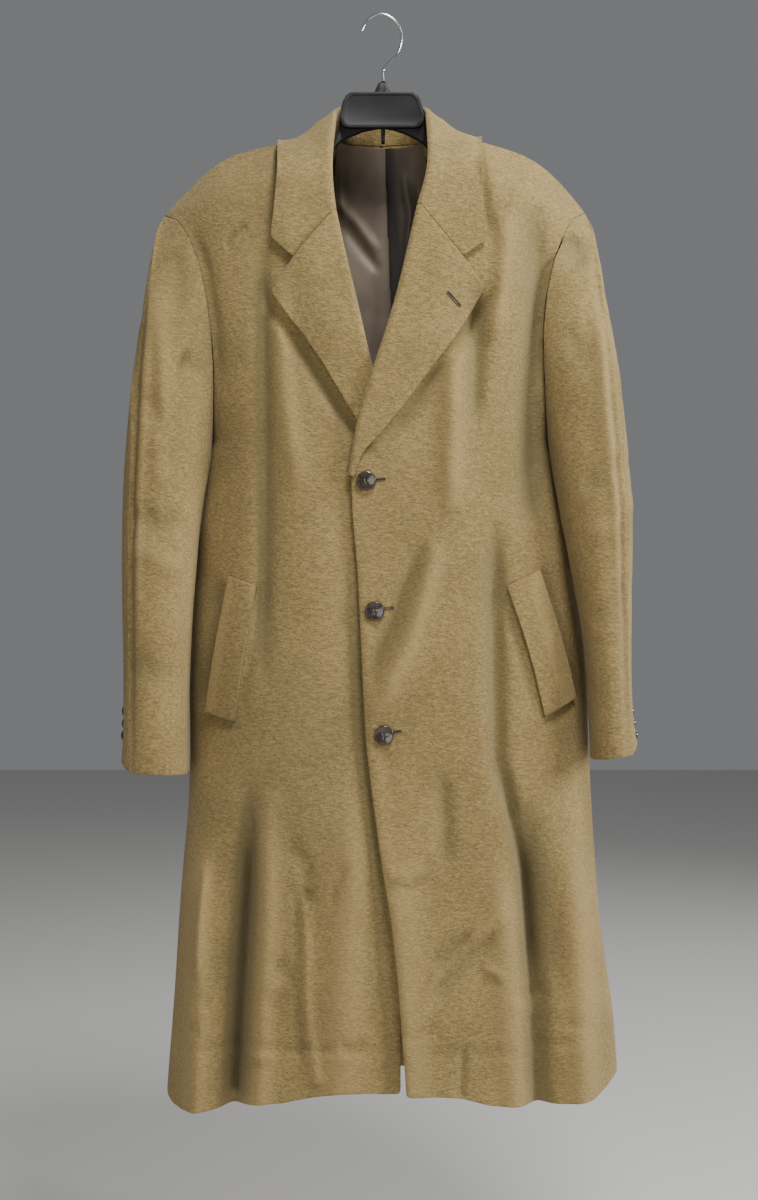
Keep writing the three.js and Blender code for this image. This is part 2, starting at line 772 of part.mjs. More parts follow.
function backSheet(side) {
  const sign = signOf(side);
  const base = armholeOf(side)[armholeOf(side).length - 1].z;
  const rows = [];
  for (const share of skirtRows.slice(0, -1)) {
    const row = [];
    for (let c = 0; c <= backColumns; c += 1) {
      const u = Math.sin((Math.PI / 2) * (c / backColumns));
      let x = 0;
      let z = mix(-1330, base, share);
      for (let i = 0; i < 3; i += 1) {
        x = mix(neckCentre, sign * widthAt(side, z), u);
        const low = mix(-1326, hemAt(sign * widthAt(side, z)), u ** 3);
        z = mix(low, base, share);
      }
      row.push(new THREE.Vector3(x, c === backColumns ? along(sideBack, 'z', z, 'back') : backY(x, z), z));
    }
    rows.push(row);
  }
  const topStart = armholeRows - 3;
  for (let step = 0; step <= armholeRows; step += 1) {
    const outer = armholePoint(side, 'back', step);
    const row = [];
    for (let c = 0; c <= backColumns; c += 1) {
      const even = c / backColumns;
      const shoulderShare = clamp((c - neckColumns) / frontColumns, 0, 1);
      const seamX = mix(neckPoint(side).x, outer.x, shoulderShare);
      if (c === backColumns) {
        row.push(outer);
      } else if (step === armholeRows) {
        row.push(c < neckColumns ? backNeck(side, c / neckColumns) : shoulderSeam(seamX));
      } else if (step < topStart) {
        const u = mix(Math.sin((Math.PI / 2) * even), even, clamp((step / armholeRows) * 2, 0, 1));
        const x = mix(neckCentre, outer.x, u);
        const z = mix(mix(base, crestAt(0) - 60, step / topStart), outer.z, u ** 2);
        row.push(new THREE.Vector3(x, backY(x, z), z));
      } else {
        const nearTop = step - topStart;
        const top = c < neckColumns ? backNeck(side, c / neckColumns)
          : overShoulder(mix(neckPoint(side).x, outer.x, shoulderShare), 3);
        const x = mix(mix(neckCentre, outer.x, even), top.x, (nearTop + 1) / 4);
        if (c < neckColumns) {
          const z = mix(crestAt(0) - 60, top.z, (nearTop + 1) / 4);
          const y = mix(backY(x, z), top.y, ((nearTop + 1) / 4) ** 2);
          row.push(new THREE.Vector3(x, Math.max(y, 0), z));
        } else {
          const low = overShoulder(x, nearTop);
          const share = clamp((c - neckColumns) / frontColumns, 0, 1) ** 3;
          row.push(low.lerp(outer, share * (1 - nearTop / 6)));
        }
      }
    }
    rows.push(row);
  }
  return sheet(`back_${side}`, rows, side === 'right' ? 1 : -1);
}

const fronts = { right: frontSheet('right'), left: frontSheet('left') };
const backs = { right: backSheet('right'), left: backSheet('left') };

// Sleeves: columns run round the ring, rows run from the armhole to the cuff.
function sleeveRing(side, ring, angle) {
  const row = (side === 'right' ? sleeveRight : sleeveLeft)[ring];
  const turn = THREE.MathUtils.degToRad(angle);
  const bend = (value) => Math.sign(value) * Math.abs(value) ** (2 / sleevePower);
  const across = (1 - bend(Math.cos(turn))) / 2;
  const x = mix(row.outX, row.inX, across);
  const z = mix(row.outZ, row.inZ, across);
  return new THREE.Vector3(x, row.mid - row.half * bend(Math.sin(turn)), z);
}

// Angle at the armhole: 0 is the shoulder, 180 the underarm, plus in front and minus behind.
function sleeveSheet(side, part) {
  const steps = [];
  if (part === 'top') {
    for (let s = -hindSeamBack; s <= foreSeamFront; s += 1) {
      steps.push(s);
    }
  } else {
    for (let s = foreSeamFront; s <= 2 * armholeRows - hindSeamBack; s += 1) {
      steps.push(s);
    }
  }
  const stepAngle = 180 / armholeRows;
  const first = steps[0];
  const last = steps[steps.length - 1];
  const lowFirst = part === 'top' ? hindSeamAngle : foreSeamAngle;
  const lowLast = part === 'top' ? foreSeamAngle : hindSeamAngle + 360;
  const rows = [];
  const rings = sleeveRight.length;
  for (let ring = 0; ring < rings; ring += 1) {
    const row = steps.map((s) => {
      const high = s * stepAngle;
      const low = mix(lowFirst, lowLast, (s - first) / (last - first));
      const p = sleeveRing(side, ring, mix(high, low, sleeveTwist[ring]));
      const isFront = s >= 0 && s <= armholeRows;
      const up = s < 0 ? armholeRows + s : Math.abs(armholeRows - s);
      const seam = armholePoint(side, isFront ? 'front' : 'back', up);
      const rest = seam.sub(sleeveRing(side, 0, high));
      p.addScaledVector(rest, sleeveBlend[ring]);
      if (ring === rings - 1 && part === 'under') {
        p.z += underCuffRise * Math.sin(Math.PI * clamp((s - first) / (last - first), 0, 1)) ** 0.3;
      }
      return p;
    });
    rows.push(row);
  }
  return sheet(`sleeve_${part}_${side}`, rows, side === 'right' ? -1 : 1);
}

const sleeves = [
  sleeveSheet('right', 'top'),
  sleeveSheet('right', 'under'),
  sleeveSheet('left', 'top'),
  sleeveSheet('left', 'under'),
];

const bodySheets = [fronts.right, fronts.left, backs.right, backs.left, ...sleeves];
openSeams(bodySheets);
bodySheets.forEach((piece) => addCloth(piece, clothWall));

// Lapels: each starts beside the roll line, folds over and lies back on its front.
const foldAngles = [-90, -55, -12, 35, 90];
const flatColumns = 6;
const gorgeColumns = 4;
const firstRollRow = skirtRows.length - 2;
const lastRollRow = skirtRows.length - 1 + armholeRows - 3;

function frontNormal(surface, x, z) {
  const step = 3;
  const across = surface(x + step, z).sub(surface(x - step, z));
  const up = surface(x, z + step).sub(surface(x, z - step));
  return up.cross(across).normalize().multiplyScalar(-1);
}

function foldDirections(into, outward) {
  return foldAngles.map((angle) => {
    const turn = THREE.MathUtils.degToRad(angle);
    return new THREE.Vector3()
      .addScaledVector(into, Math.cos(turn))
      .addScaledVector(outward, Math.sin(turn));
  });
}

function foldPoints(start, into, outward, radius) {
  return foldAngles.map((angle) => {
    const turn = THREE.MathUtils.degToRad(angle);
    return start.clone()
      .addScaledVector(into, seamGap + (radius + collarWall) * Math.cos(turn))
      .addScaledVector(outward, radius + (radius + collarWall) * Math.sin(turn));
  });
}

function rollFrame(piece, r) {
  const low = piece.rows[Math.max(r - 1, firstRollRow)][0];
  const high = piece.rows[Math.min(r + 1, lastRollRow)][0];
  const tangent = high.clone().sub(low).normalize();
  const outward = piece.out[r][0].clone();
  const into = tangent.cross(outward).normalize();
  const away = piece.rows[r][0].clone().sub(piece.rows[r][1]);
  return { start: piece.rows[r][0], outward, into: into.multiplyScalar(Math.sign(into.dot(away))) };
}

function lapelSheet(side) {
  const piece = fronts[side];
  const surface = side === 'right' ? rightFront : leftFront;
  const edge = side === 'right' ? lapelEdgeRight : lapelEdgeLeft;
  const notch = side === 'right' ? gorgeNotchRight : gorgeNotchLeft;
  const rows = [];
  const fixed = [];
  for (let r = firstRollRow; r <= lastRollRow; r += 1) {
    const share = (r - firstRollRow) / (lastRollRow - firstRollRow);
    const { start, outward, into } = rollFrame(piece, r);
    const isHidden = side === 'right' && start.z < -435;
    const radius = isHidden ? 0.8 : mix(1.0, 2.8, clamp(share * 3, 0, 1));
    const row = foldPoints(start, into, outward, radius);
    fixed.push(foldDirections(into, outward));
    const z = mix(edge[0].z, edge[edge.length - 1].z, share);
    const tip = { x: along(edge, 'z', z, 'x'), z };
    const kinkShare = [1, 0.4, 0.1][lastRollRow - r] ?? 0;
    for (let c = 1; c <= flatColumns; c += 1) {
      const f = c / flatColumns;
      const notchF = gorgeColumns / flatColumns;
      const top = c <= gorgeColumns
        ? { x: mix(start.x, notch.x, f / notchF), z: mix(start.z, notch.z, f / notchF) }
        : {
          x: mix(notch.x, tip.x, (f - notchF) / (1 - notchF)),
          z: mix(notch.z, tip.z, (f - notchF) / (1 - notchF)),
        };
      const plain = { x: mix(start.x, tip.x, f), z: mix(start.z, tip.z, f) };
      const px = mix(plain.x, top.x, kinkShare);
      const pz = mix(plain.z, top.z, kinkShare);
      const gap = mix(2 * radius, isHidden ? 1.6 : 1.2, f ** 0.7);
      const p = surface(px, pz);
      p.addScaledVector(frontNormal(surface, px, pz), gap + collarWall);
      row.push(p);
    }
    rows.push(row);
  }
  return sheet(`lapel_${side}`, rows, side === 'right' ? -1 : 1, fixed);
}

// Whether a place stands this far clear of the body.
function isClear(p, margin) {
  const sense = p.y < 0 ? 1 : -1;
  const tries = [[0, 0], [margin * sense, 0], [0, -margin], [0.7 * margin * sense, -0.7 * margin]];
  return tries.every(([dy, dz]) => {
    const y = p.y + dy;
    const z = p.z + dz;
    if (z > crestAt(p.x)) {
      return true;
    }
    return y < frontY(p.x, z) || y > backY(p.x, z);
  });
}

// Raises the fall of the collar until it and the facets between its points clear the shoulders.
function liftClear(rows, lifts) {
  const margin = collarWall + collarClear;
  for (let pass = 0; pass < 80; pass += 1) {
    let isDone = true;
    for (let r = 0; r < rows.length - 1; r += 1) {
      for (let c = foldAngles.length - 1; c < rows[0].length; c += 1) {
        const next = Math.min(c + 1, rows[0].length - 1);
        for (const [i, j, k, m] of [[r, c, r + 1, c], [r, c, r + 1, next], [r, c, r, next]]) {
          for (const t of [0, 0.25, 0.5, 0.75]) {
            if (!isClear(rows[i][j].clone().lerp(rows[k][m], t), margin)) {
              isDone = false;
              rows[i][j].addScaledVector(lifts[i], 0.3);
              rows[k][m].addScaledVector(lifts[k], t > 0 ? 0.3 : 0);
              break;
            }
          }
        }
      }
    }
    if (isDone) {
      return;
    }
  }
}

// Collar: one piece with its stand, from gorge to gorge round the back of the neck.
function collarSheet(lapels) {
  const rightEnd = lapels.right.rows[lapels.right.rows.length - 1];
  const leftEnd = lapels.left.rows[lapels.left.rows.length - 1];
  const rise = skirtRows.length - 1;
  const neckLine = [];
  for (let step = armholeRows - 2; step <= armholeRows; step += 1) {
    neckLine.push(fronts.right.rows[rise + step][0]);
  }
  const backTop = rise + armholeRows;
  for (let c = neckColumns - 1; c >= 0; c -= 1) {
    neckLine.push(backs.right.rows[backTop][c]);
  }
  for (let c = 1; c < neckColumns; c += 1) {
    neckLine.push(backs.left.rows[backTop][c]);
  }
  for (let step = armholeRows; step >= armholeRows - 2; step -= 1) {
    neckLine.push(fronts.left.rows[rise + step][0]);
  }
  const tipEnd = (surface, end, tip) => {
    const row = end.slice(0, foldAngles.length + gorgeColumns).map((p) => p.clone());
    const notch = end[foldAngles.length + gorgeColumns - 1];
    for (let c = gorgeColumns + 1; c <= flatColumns; c += 1) {
      const f = (c - gorgeColumns) / (flatColumns - gorgeColumns);
      const x = mix(notch.x, tip.x, f);
      const z = mix(notch.z, tip.z, f);
      const p = surface(x, z).addScaledVector(frontNormal(surface, x, z), 1.3 + collarWall);
      row.push(p);
    }
    return row;
  };
  const rows = [tipEnd(rightFront, rightEnd, collarTipRight)];
  const fixed = [lapels.right.fixed[lapels.right.fixed.length - 1].map((d) => d.clone())];
  const lifts = [new THREE.Vector3()];
  neckLine.forEach((base, i) => {
    const stand = collarStand[Math.min(i, neckLine.length - 1 - i)];
    const isFront = Math.min(i, neckLine.length - 1 - i) < 3;
    const edge = new THREE.Vector3(collarEdge[i].x, collarEdge[i].y, collarEdge[i].z);
    const before = neckLine[Math.max(i - 1, 0)];
    const after = neckLine[Math.min(i + 1, neckLine.length - 1)];
    const tangent = after.clone().sub(before).normalize();
    const towards = new THREE.Vector3(neckCentre - base.x, isFront ? 0 : -5 - base.y, 0);
    const up = towards.normalize().multiplyScalar(stand.into);
    up.z = stand.up;
    up.addScaledVector(tangent, -up.dot(tangent)).normalize();
    const height = stand.height;
    const away = isFront ? new THREE.Vector3(0, -1, 0.3)
      : new THREE.Vector3(base.x - neckCentre, base.y + 5, 0);
    const outward = up.clone().cross(tangent).normalize();
    outward.multiplyScalar(Math.sign(outward.dot(away)));
    fixed.push(foldDirections(up, outward));
    const radius = 2.8;
    const centre = base.clone().addScaledVector(up, height - radius - collarWall)
      .addScaledVector(outward, radius);
    const row = foldAngles.map((angle, k) => {
      const turn = THREE.MathUtils.degToRad(angle);
      const p = centre.clone()
        .addScaledVector(up, (radius + collarWall) * Math.cos(turn))
        .addScaledVector(outward, (radius + collarWall) * Math.sin(turn));
      if (k === 0) {
        p.addScaledVector(up, -(height - radius - collarWall) + 2 * seamGap);
      }
      return p;
    });
    const last = row[row.length - 1];
    for (let c = 1; c <= flatColumns; c += 1) {
      const f = c / flatColumns;
      const p = last.clone().lerp(edge, f);
      p.addScaledVector(outward, 3 * Math.sin(Math.PI * f ** 0.8));
      row.push(p);
    }
    const raise = [0.1, 0.5, 1.5][Math.min(i, neckLine.length - 1 - i)] ?? 2;
    lifts.push(outward.clone().add(new THREE.Vector3(0, 0, raise)).normalize());
    rows.push(row);
  });
  rows.push(tipEnd(leftFront, leftEnd, collarTipLeft));
  fixed.push(lapels.left.fixed[lapels.left.fixed.length - 1].map((d) => d.clone()));
  lifts.push(new THREE.Vector3());
  liftClear(rows, lifts);
  return sheet('collar', rows, -1, fixed);
}

const lapels = { right: lapelSheet('right'), left: lapelSheet('left') };
const collar = collarSheet(lapels);
const turned = [lapels.right, lapels.left, collar];
openSeams(turned);
turned.forEach((piece) => addCloth(piece, collarWall));

// A place on the faceted outer face of a sheet, seen straight from the front.
function faceY(piece, x, z, pick = Math.min) {
  const { rows } = piece;
  let best = null;
  for (let r = 0; r < rows.length - 1; r += 1) {
    for (let c = 0; c < rows[0].length - 1; c += 1) {
      const corners = [rows[r][c], rows[r][c + 1], rows[r + 1][c + 1], rows[r + 1][c]];
      for (const [i, j, k] of [[0, 1, 2], [0, 2, 3]]) {
        const [p, q, s] = [corners[i], corners[j], corners[k]];
        const area = (q.x - p.x) * (s.z - p.z) - (s.x - p.x) * (q.z - p.z);
        const u = ((x - p.x) * (s.z - p.z) - (s.x - p.x) * (z - p.z)) / area;
        const v = ((q.x - p.x) * (z - p.z) - (x - p.x) * (q.z - p.z)) / area;
        if (u >= -1e-6 && v >= -1e-6 && u + v <= 1 + 1e-6) {
          const y = p.y + u * (q.y - p.y) + v * (s.y - p.y);
          best = best === null ? y : pick(best, y);
        }
      }
    }
  }
  return best;
}

// Welt pockets lie on the fronts.
function weltSheet(side) {
  const shape = side === 'right' ? weltRight : weltLeft;
  const piece = fronts[side];
  const rows = [];
  const highRows = 10;
  const wideColumns = 4;
  for (let r = 0; r <= highRows; r += 1) {
    const t = r / highRows;
    const bow = shape.bow * Math.sin(Math.PI * t);
    const a = { x: mix(shape.low[0].x, shape.top[0].x, t), z: mix(shape.low[0].z, shape.top[0].z, t) };
    const b = { x: mix(shape.low[1].x, shape.top[1].x, t), z: mix(shape.low[1].z, shape.top[1].z, t) };
    const row = [];
    for (let c = 0; c <= wideColumns; c += 1) {
      const u = c / wideColumns;
      const x = mix(a.x, b.x, u) + bow;
      const z = mix(a.z, b.z, u);
      row.push(new THREE.Vector3(x, faceY(piece, x, z) - weltClear, z));
    }
    rows.push(row);
  }
  return sheet(`pocket_welt_${side}`, rows, 1);
}

for (const side of ['right', 'left']) {
  const piece = weltSheet(side);
  findDirections(piece);
  addCloth(piece, -weltWall);
}

// Lining of the back, where the open neck shows it, with its pleat down the middle.
function liningSheet() {
  const innerBacks = [backs.right, backs.left].map(({ rows, out }) => ({
    rows: rows.map((row, r) => row.map((p, c) => (
      p.clone().addScaledVector(out[r][c], -clothWall)))),
  }));
  const rows = [];
  const widths = { top: 55, low: 128 };
  for (let r = 0; r <= 12; r += 1) {
    const t = r / 12;
    const z = mix(-620, -168, t);
    const row = [];
    for (let c = 0; c <= 16; c += 1) {
      const u = (c / 16) * 2 - 1;
      const x = neckCentre + u * mix(widths.low, widths.top, t);
      const pleat = 2.2 * Math.exp(-(((x - 11) / 7) ** 2));
      const found = innerBacks.map((behind) => faceY(behind, x, z)).filter((y) => y !== null);
      const y = found.length > 0 ? Math.min(...found) : backY(x, z) - 2 * clothWall;
      row.push(new THREE.Vector3(x, y - liningClear * (1 + 1.3 * t * t) - pleat, z));
    }
    rows.push(row);
  }
  return sheet('lining_back', rows, 1);
}

const lining = liningSheet();
findDirections(lining);
const liningBack = lining.rows.map((row, r) => row.map((p, c) => (
  p.clone().addScaledVector(lining.out[r][c], liningWall))));
addMesh('lining_back', wallBetween(lining.rows, liningBack), liningColour, 0.45, 0);

// Buttons: turned discs, the large ones with four holes.
function buttonBlank(size, segments) {
  const { radius, thick, rim, dish } = size;
  const profile = [
    new THREE.Vector2(0, 0),
    new THREE.Vector2(radius * 0.72, 0),
    new THREE.Vector2(radius, thick * 0.45),
    new THREE.Vector2(radius - 0.35 * rim, thick * 0.9),
    new THREE.Vector2(radius - rim * 0.75, thick),
    new THREE.Vector2(radius - rim * 1.5, thick - dish * 0.7),
    new THREE.Vector2(0, thick - dish),
  ];
  return new THREE.LatheGeometry(profile, segments);
}

function mergedMesh(geometry) {
  const position = geometry.attributes.position;
  const known = new Map();
  const numbers = [];
  const renamed = [];
  for (let i = 0; i < position.count; i += 1) {
    const p = [position.getX(i), position.getY(i), position.getZ(i)];
    const key = p.map((value) => (Math.round(value * 1e4) / 1e4 + 0).toFixed(4)).join(' ');
    if (!known.has(key)) {
      known.set(key, numbers.length / 3);
      numbers.push(...p);
    }
    renamed.push(known.get(key));
  }
  const source = geometry.index ? [...geometry.index.array] : [...renamed.keys()];
  const faces = [];
  for (let i = 0; i < source.length; i += 3) {
    const [a, b, c] = [renamed[source[i]], renamed[source[i + 1]], renamed[source[i + 2]]];
    if (a !== b && b !== c && a !== c) {
      faces.push(a, b, c);
    }
  }
  return new wasm.Mesh({
    numProp: 3,
    vertProperties: new Float32Array(numbers),
    triVerts: new Uint32Array(faces),
  });
}

function solidGeometry(solid) {
  const mesh = solid.getMesh();
  const geometry = new THREE.BufferGeometry();
  geometry.setAttribute('position', new THREE.Float32BufferAttribute(mesh.vertProperties, 3));
  geometry.setIndex([...mesh.triVerts]);
  return geometry;
}

const frontBlank = buttonBlank(frontButtonSize, 28);
let frontButton = new wasm.Manifold(mergedMesh(frontBlank));
for (const [dx, dz] of [[1, 1], [1, -1], [-1, 1], [-1, -1]]) {
  const drill = new THREE.CylinderGeometry(frontButtonSize.hole, frontButtonSize.hole, 20, 8);
  drill.translate(dx * frontButtonSize.holeOut * 0.7, 0, dz * frontButtonSize.holeOut * 0.7);
  frontButton = frontButton.subtract(new wasm.Manifold(mergedMesh(drill)));
}
const frontButtonShape = solidGeometry(frontButton);

function placeButton(name, shape, at, normal) {
  const geometry = shape.clone();
  const turn = new THREE.Quaternion().setFromUnitVectors(new THREE.Vector3(0, 1, 0), normal);
  geometry.applyQuaternion(turn);
  geometry.translate(at.x, at.y, at.z);
  addMesh(name, geometry, buttonColour, 0.3, 0);
}

frontButtons.forEach(({ x, z }, i) => {
  const reach = 8;
  const spots = [[0, 0], [reach, 0], [-reach, 0], [0, reach], [0, -reach]];
  const y = Math.min(...spots.map(([dx, dz]) => faceY(fronts.left, x + dx, z + dz)));
  const at = new THREE.Vector3(x, y - 0.6, z);
  placeButton(`button_front_${i + 1}`, frontButtonShape, at, new THREE.Vector3(0, -1, 0));
});

const cuffShape = buttonBlank(cuffButtonSize, 16);
for (const [side, piece] of [['right', sleeves[1]], ['left', sleeves[3]]]) {
  cuffButtonHeights.forEach((height, i) => {
    let r = 0;
    const c = Math.floor(cuffButtonColumn);
    const t = cuffButtonColumn - c;
    const pointAt = (row) => piece.rows[row][c].clone().lerp(piece.rows[row][c + 1], t);
    while (pointAt(r + 1).z > height) {
      r += 1;
    }
    const [a, b] = [pointAt(r), pointAt(r + 1)];
    const f = (height - a.z) / (b.z - a.z);
    const normal = piece.out[r][c].clone().lerp(piece.out[r][c + 1], t).normalize();
    const at = a.lerp(b, f).addScaledVector(normal, 1.0);
    placeButton(`button_cuff_${side}_${i + 1}`, cuffShape, at, normal);
  });
}

// Hanger: one moulded body of plate and arms, and its bent wire hook.
const hangerRing = 12;

// The lowest inner face of the coat above a place seen from below.
function ceilingAt(x, y) {
  let best = Infinity;
  for (const { rows, out } of [fronts.right, fronts.left, backs.right, backs.left]) {
    for (let r = skirtRows.length + 5; r < rows.length - 1; r += 1) {
      for (let c = 0; c < rows[0].length - 1; c += 1) {
        const around = [[r, c], [r, c + 1], [r + 1, c + 1], [r + 1, c]];
        const inner = around.map(([i, j]) => (
          rows[i][j].clone().addScaledVector(out[i][j], -clothWall)));
        for (const [i, j, k] of [[0, 1, 2], [0, 2, 3]]) {
          const [p, q, s] = [inner[i], inner[j], inner[k]];
          const area = (q.x - p.x) * (s.y - p.y) - (s.x - p.x) * (q.y - p.y);
          const u = ((x - p.x) * (s.y - p.y) - (s.x - p.x) * (y - p.y)) / area;
          const v = ((q.x - p.x) * (y - p.y) - (x - p.x) * (q.y - p.y)) / area;
          if (u >= -1e-6 && v >= -1e-6 && u + v <= 1 + 1e-6) {
            best = Math.min(best, p.z + u * (q.z - p.z) + v * (s.z - p.z));
          }
        }
      }
    }
  }
  return best;
}

function hangerGeometry() {
  const rings = hangerSections.map(({ x, top: highest, bottom, half }) => {
    const isFree = (top) => {
      for (let i = 0; i <= hangerRing / 2; i += 1) {
        const angle = (2 * Math.PI * i) / hangerRing;
        const y = half * Math.sign(Math.cos(angle)) * Math.abs(Math.cos(angle)) ** 0.6;
        const z = (top + bottom) / 2 + ((top - bottom) / 2) * Math.sin(angle) ** 0.6;
        if (z > ceilingAt(x, y) - 0.5) {
          return false;
        }
      }
      return true;
    };
    let top = highest;
    while (!isFree(top) && top > bottom + 3) {
      top -= 0.4;
    }
    const ring = [];
    for (let i = 0; i < hangerRing; i += 1) {
      const angle = (2 * Math.PI * i) / hangerRing;
      const bend = (value) => Math.sign(value) * Math.abs(value) ** 0.6;
      const y = half * bend(Math.cos(angle));
      const z = (top + bottom) / 2 + ((top - bottom) / 2) * bend(Math.sin(angle));
      ring.push(new THREE.Vector3(x, y, z));
    }
    return ring;
  });
  const points = rings.flat();
  const index = [];
  for (let i = 0; i < rings.length - 1; i += 1) {
    for (let j = 0; j < hangerRing; j += 1) {
      const a = i * hangerRing + j;
      const b = i * hangerRing + ((j + 1) % hangerRing);
      index.push(a, b, b + hangerRing, a, b + hangerRing, a + hangerRing);
    }
  }
  for (const end of [0, rings.length - 1]) {
    const base = end * hangerRing;
    for (let j = 1; j < hangerRing - 1; j += 1) {
      if (end === 0) {
        index.push(base, base + j + 1, base + j);
      } else {
        index.push(base, base + j, base + j + 1);
      }
    }
  }
  const geometry = new THREE.BufferGeometry();
  const numbers = points.flatMap((p) => [p.x, p.y, p.z]);
  geometry.setAttribute('position', new THREE.Float32BufferAttribute(numbers, 3));
  geometry.setIndex(index);
  return geometry;
}

// Outline of the plate, drawn in by a margin.
function plateOutline(margin) {
  const { middle, topHalf, wideHalf, lowHalf, top, wideAt, low, round } = hangerPlate;
  const [t, w, l] = [topHalf - margin, wideHalf - margin, lowHalf - margin];
  const [high, deep] = [top - margin, low + margin];
  const shape = new THREE.Shape();
  shape.moveTo(middle - t + round, high);
  shape.lineTo(middle + t - round, high);
  shape.quadraticCurveTo(middle + t, high, middle + t + 3, high - round);
  shape.lineTo(middle + w, wideAt);
  shape.quadraticCurveTo(middle + l + 3, deep, middle + l - round, deep);
  shape.lineTo(middle - l + round, deep);
  shape.quadraticCurveTo(middle - l - 3, deep, middle - w, wideAt);
  shape.lineTo(middle - t - 3, high - round);
  shape.quadraticCurveTo(middle - t, high, middle - t + round, high);
  return shape;
}

function plateSolid(margin, front, back) {
  const geometry = new THREE.ExtrudeGeometry(plateOutline(margin), {
    depth: back - front,
    bevelEnabled: false,
    curveSegments: 5,
  });
  geometry.rotateX(Math.PI / 2);
  geometry.translate(0, back, 0);
  return new wasm.Manifold(mergedMesh(geometry));
}

const { front: plateFront, back: plateBack, rim: plateRim, dish: plateDish } = hangerPlate;
const plate = plateSolid(0, plateFront, plateBack)
  .subtract(plateSolid(plateRim, plateFront - 2, plateFront + plateDish));
const hanger = new wasm.Manifold(mergedMesh(hangerGeometry())).add(plate);
addMesh('hanger_body', solidGeometry(hanger), plasticColour, 0.55, 0);

const wirePath = new THREE.CatmullRomCurve3(
  hookPath.map(({ x, z }) => new THREE.Vector3(x, 0, z)),
  false,
  'centripetal',
);
const wireShape = new THREE.Shape();
wireShape.absarc(0, 0, hookWire, 0, 2 * Math.PI, false);
const wire = new THREE.ExtrudeGeometry(wireShape, {
  steps: 34,
  curveSegments: 5,
  extrudePath: wirePath,
});
addMesh('hanger_hook', wire, steelColour, 0.15, 1);

export default object;
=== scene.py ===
import math

import bpy
import numpy as np
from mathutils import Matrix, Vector
from mathutils.bvhtree import BVHTree


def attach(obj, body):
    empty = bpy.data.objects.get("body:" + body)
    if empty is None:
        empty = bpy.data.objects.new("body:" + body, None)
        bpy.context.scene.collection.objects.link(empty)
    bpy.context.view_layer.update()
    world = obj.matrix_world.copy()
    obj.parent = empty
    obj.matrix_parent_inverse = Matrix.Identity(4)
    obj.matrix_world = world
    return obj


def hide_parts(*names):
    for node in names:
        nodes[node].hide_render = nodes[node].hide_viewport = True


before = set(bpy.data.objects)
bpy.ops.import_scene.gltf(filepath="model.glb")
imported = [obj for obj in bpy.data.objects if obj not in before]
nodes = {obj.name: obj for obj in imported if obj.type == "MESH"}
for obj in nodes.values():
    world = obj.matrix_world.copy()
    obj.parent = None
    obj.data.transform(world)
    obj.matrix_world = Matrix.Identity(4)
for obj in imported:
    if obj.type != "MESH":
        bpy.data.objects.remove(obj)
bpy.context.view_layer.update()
scene = bpy.context.scene

# camera, at the photo's angle: level, straight on
camera = {"x": -0.0012, "away": 2.18, "height": -0.7287, "lens": 52.5}

cameraData = bpy.data.cameras.new("camera")
cameraData.lens = camera["lens"]
cameraData.sensor_width = 36.0
cameraData.clip_start = 0.05
cameraObject = bpy.data.objects.new("camera", cameraData)
scene.collection.objects.link(cameraObject)
cameraObject.location = (camera["x"], -camera["away"], camera["height"])
cameraObject.rotation_euler = (math.radians(90), 0, 0)
scene.camera = cameraObject
print("camera placed")

# floor and light
studio = {
    "floorHeight": -1.62, "floorSize": 14, "floorColour": (0.62, 0.61, 0.59, 1), "floorRoughness": 0.9,
    "skyColour": (0.82, 0.84, 0.86, 1), "skyPower": 0.22, "lookAt": (0, 0, -0.6),
}
lamps = {
    "keyLamp": {"power": 56, "place": (0.45, -1.15, 1.35), "size": 0.6},
    "sideLamp": {"power": 64, "place": (2.3, -0.85, 0.0), "size": 0.8},
    "fillLamp": {"power": 12, "place": (-0.9, -2.2, -0.55), "size": 1.3},
    "backLamp": {"power": 26, "place": (1.5, 2.1, 0.9), "size": 1.4},
}
bpy.ops.mesh.primitive_plane_add(size=studio["floorSize"], location=(0, 0, studio["floorHeight"]))
floor = bpy.context.object
floor.name = "floor"
floorPaint = bpy.data.materials.new("floorPaint")
floorPaint.use_nodes = True
floorShader = floorPaint.node_tree.nodes["Principled BSDF"]
floorShader.inputs["Base Color"].default_value = studio["floorColour"]
floorShader.inputs["Roughness"].default_value = studio["floorRoughness"]
floor.data.materials.append(floorPaint)

world = bpy.data.worlds.new("studio")
world.use_nodes = True
sky = world.node_tree.nodes["Background"]
sky.inputs["Color"].default_value = studio["skyColour"]
sky.inputs["Strength"].default_value = studio["skyPower"]
scene.world = world


def addLamp(name, lamp):
    bpy.ops.object.light_add(type="AREA", location=lamp["place"])
    light = bpy.context.object
    light.name = name
    light.data.size = lamp["size"]
    light.data.energy = lamp["power"]
    aim = Vector(studio["lookAt"]) - Vector(lamp["place"])
    light.rotation_euler = aim.to_track_quat("-Z", "Y").to_euler()
    return light


keyLamp, sideLamp, fillLamp, backLamp = [addLamp(name, lamp) for name, lamp in lamps.items()]
print("floor and light ready")


# shader maths: a socket that adds and multiplies like a number
class Flow:
    def __init__(self, tree, socket):
        self.tree = tree
        self.socket = socket

    def maths(self, operation, other):
        return addNode(self.tree, "ShaderNodeMath", {0: self, 1: other}, operation=operation)

    def __add__(self, other):
        return self.maths("ADD", other)

    def __mul__(self, other):
        return self.maths("MULTIPLY", other)

    def between(self, first, second):
        inputs = {0: self, 6: first, 7: second}
        return addNode(self.tree, "ShaderNodeMix", inputs, output=2, data_type="RGBA")

    def spread(self, low, high):
        return addNode(self.tree, "ShaderNodeMapRange", {0: self, 1: low, 2: high, 3: 0.0, 4: 1.0})


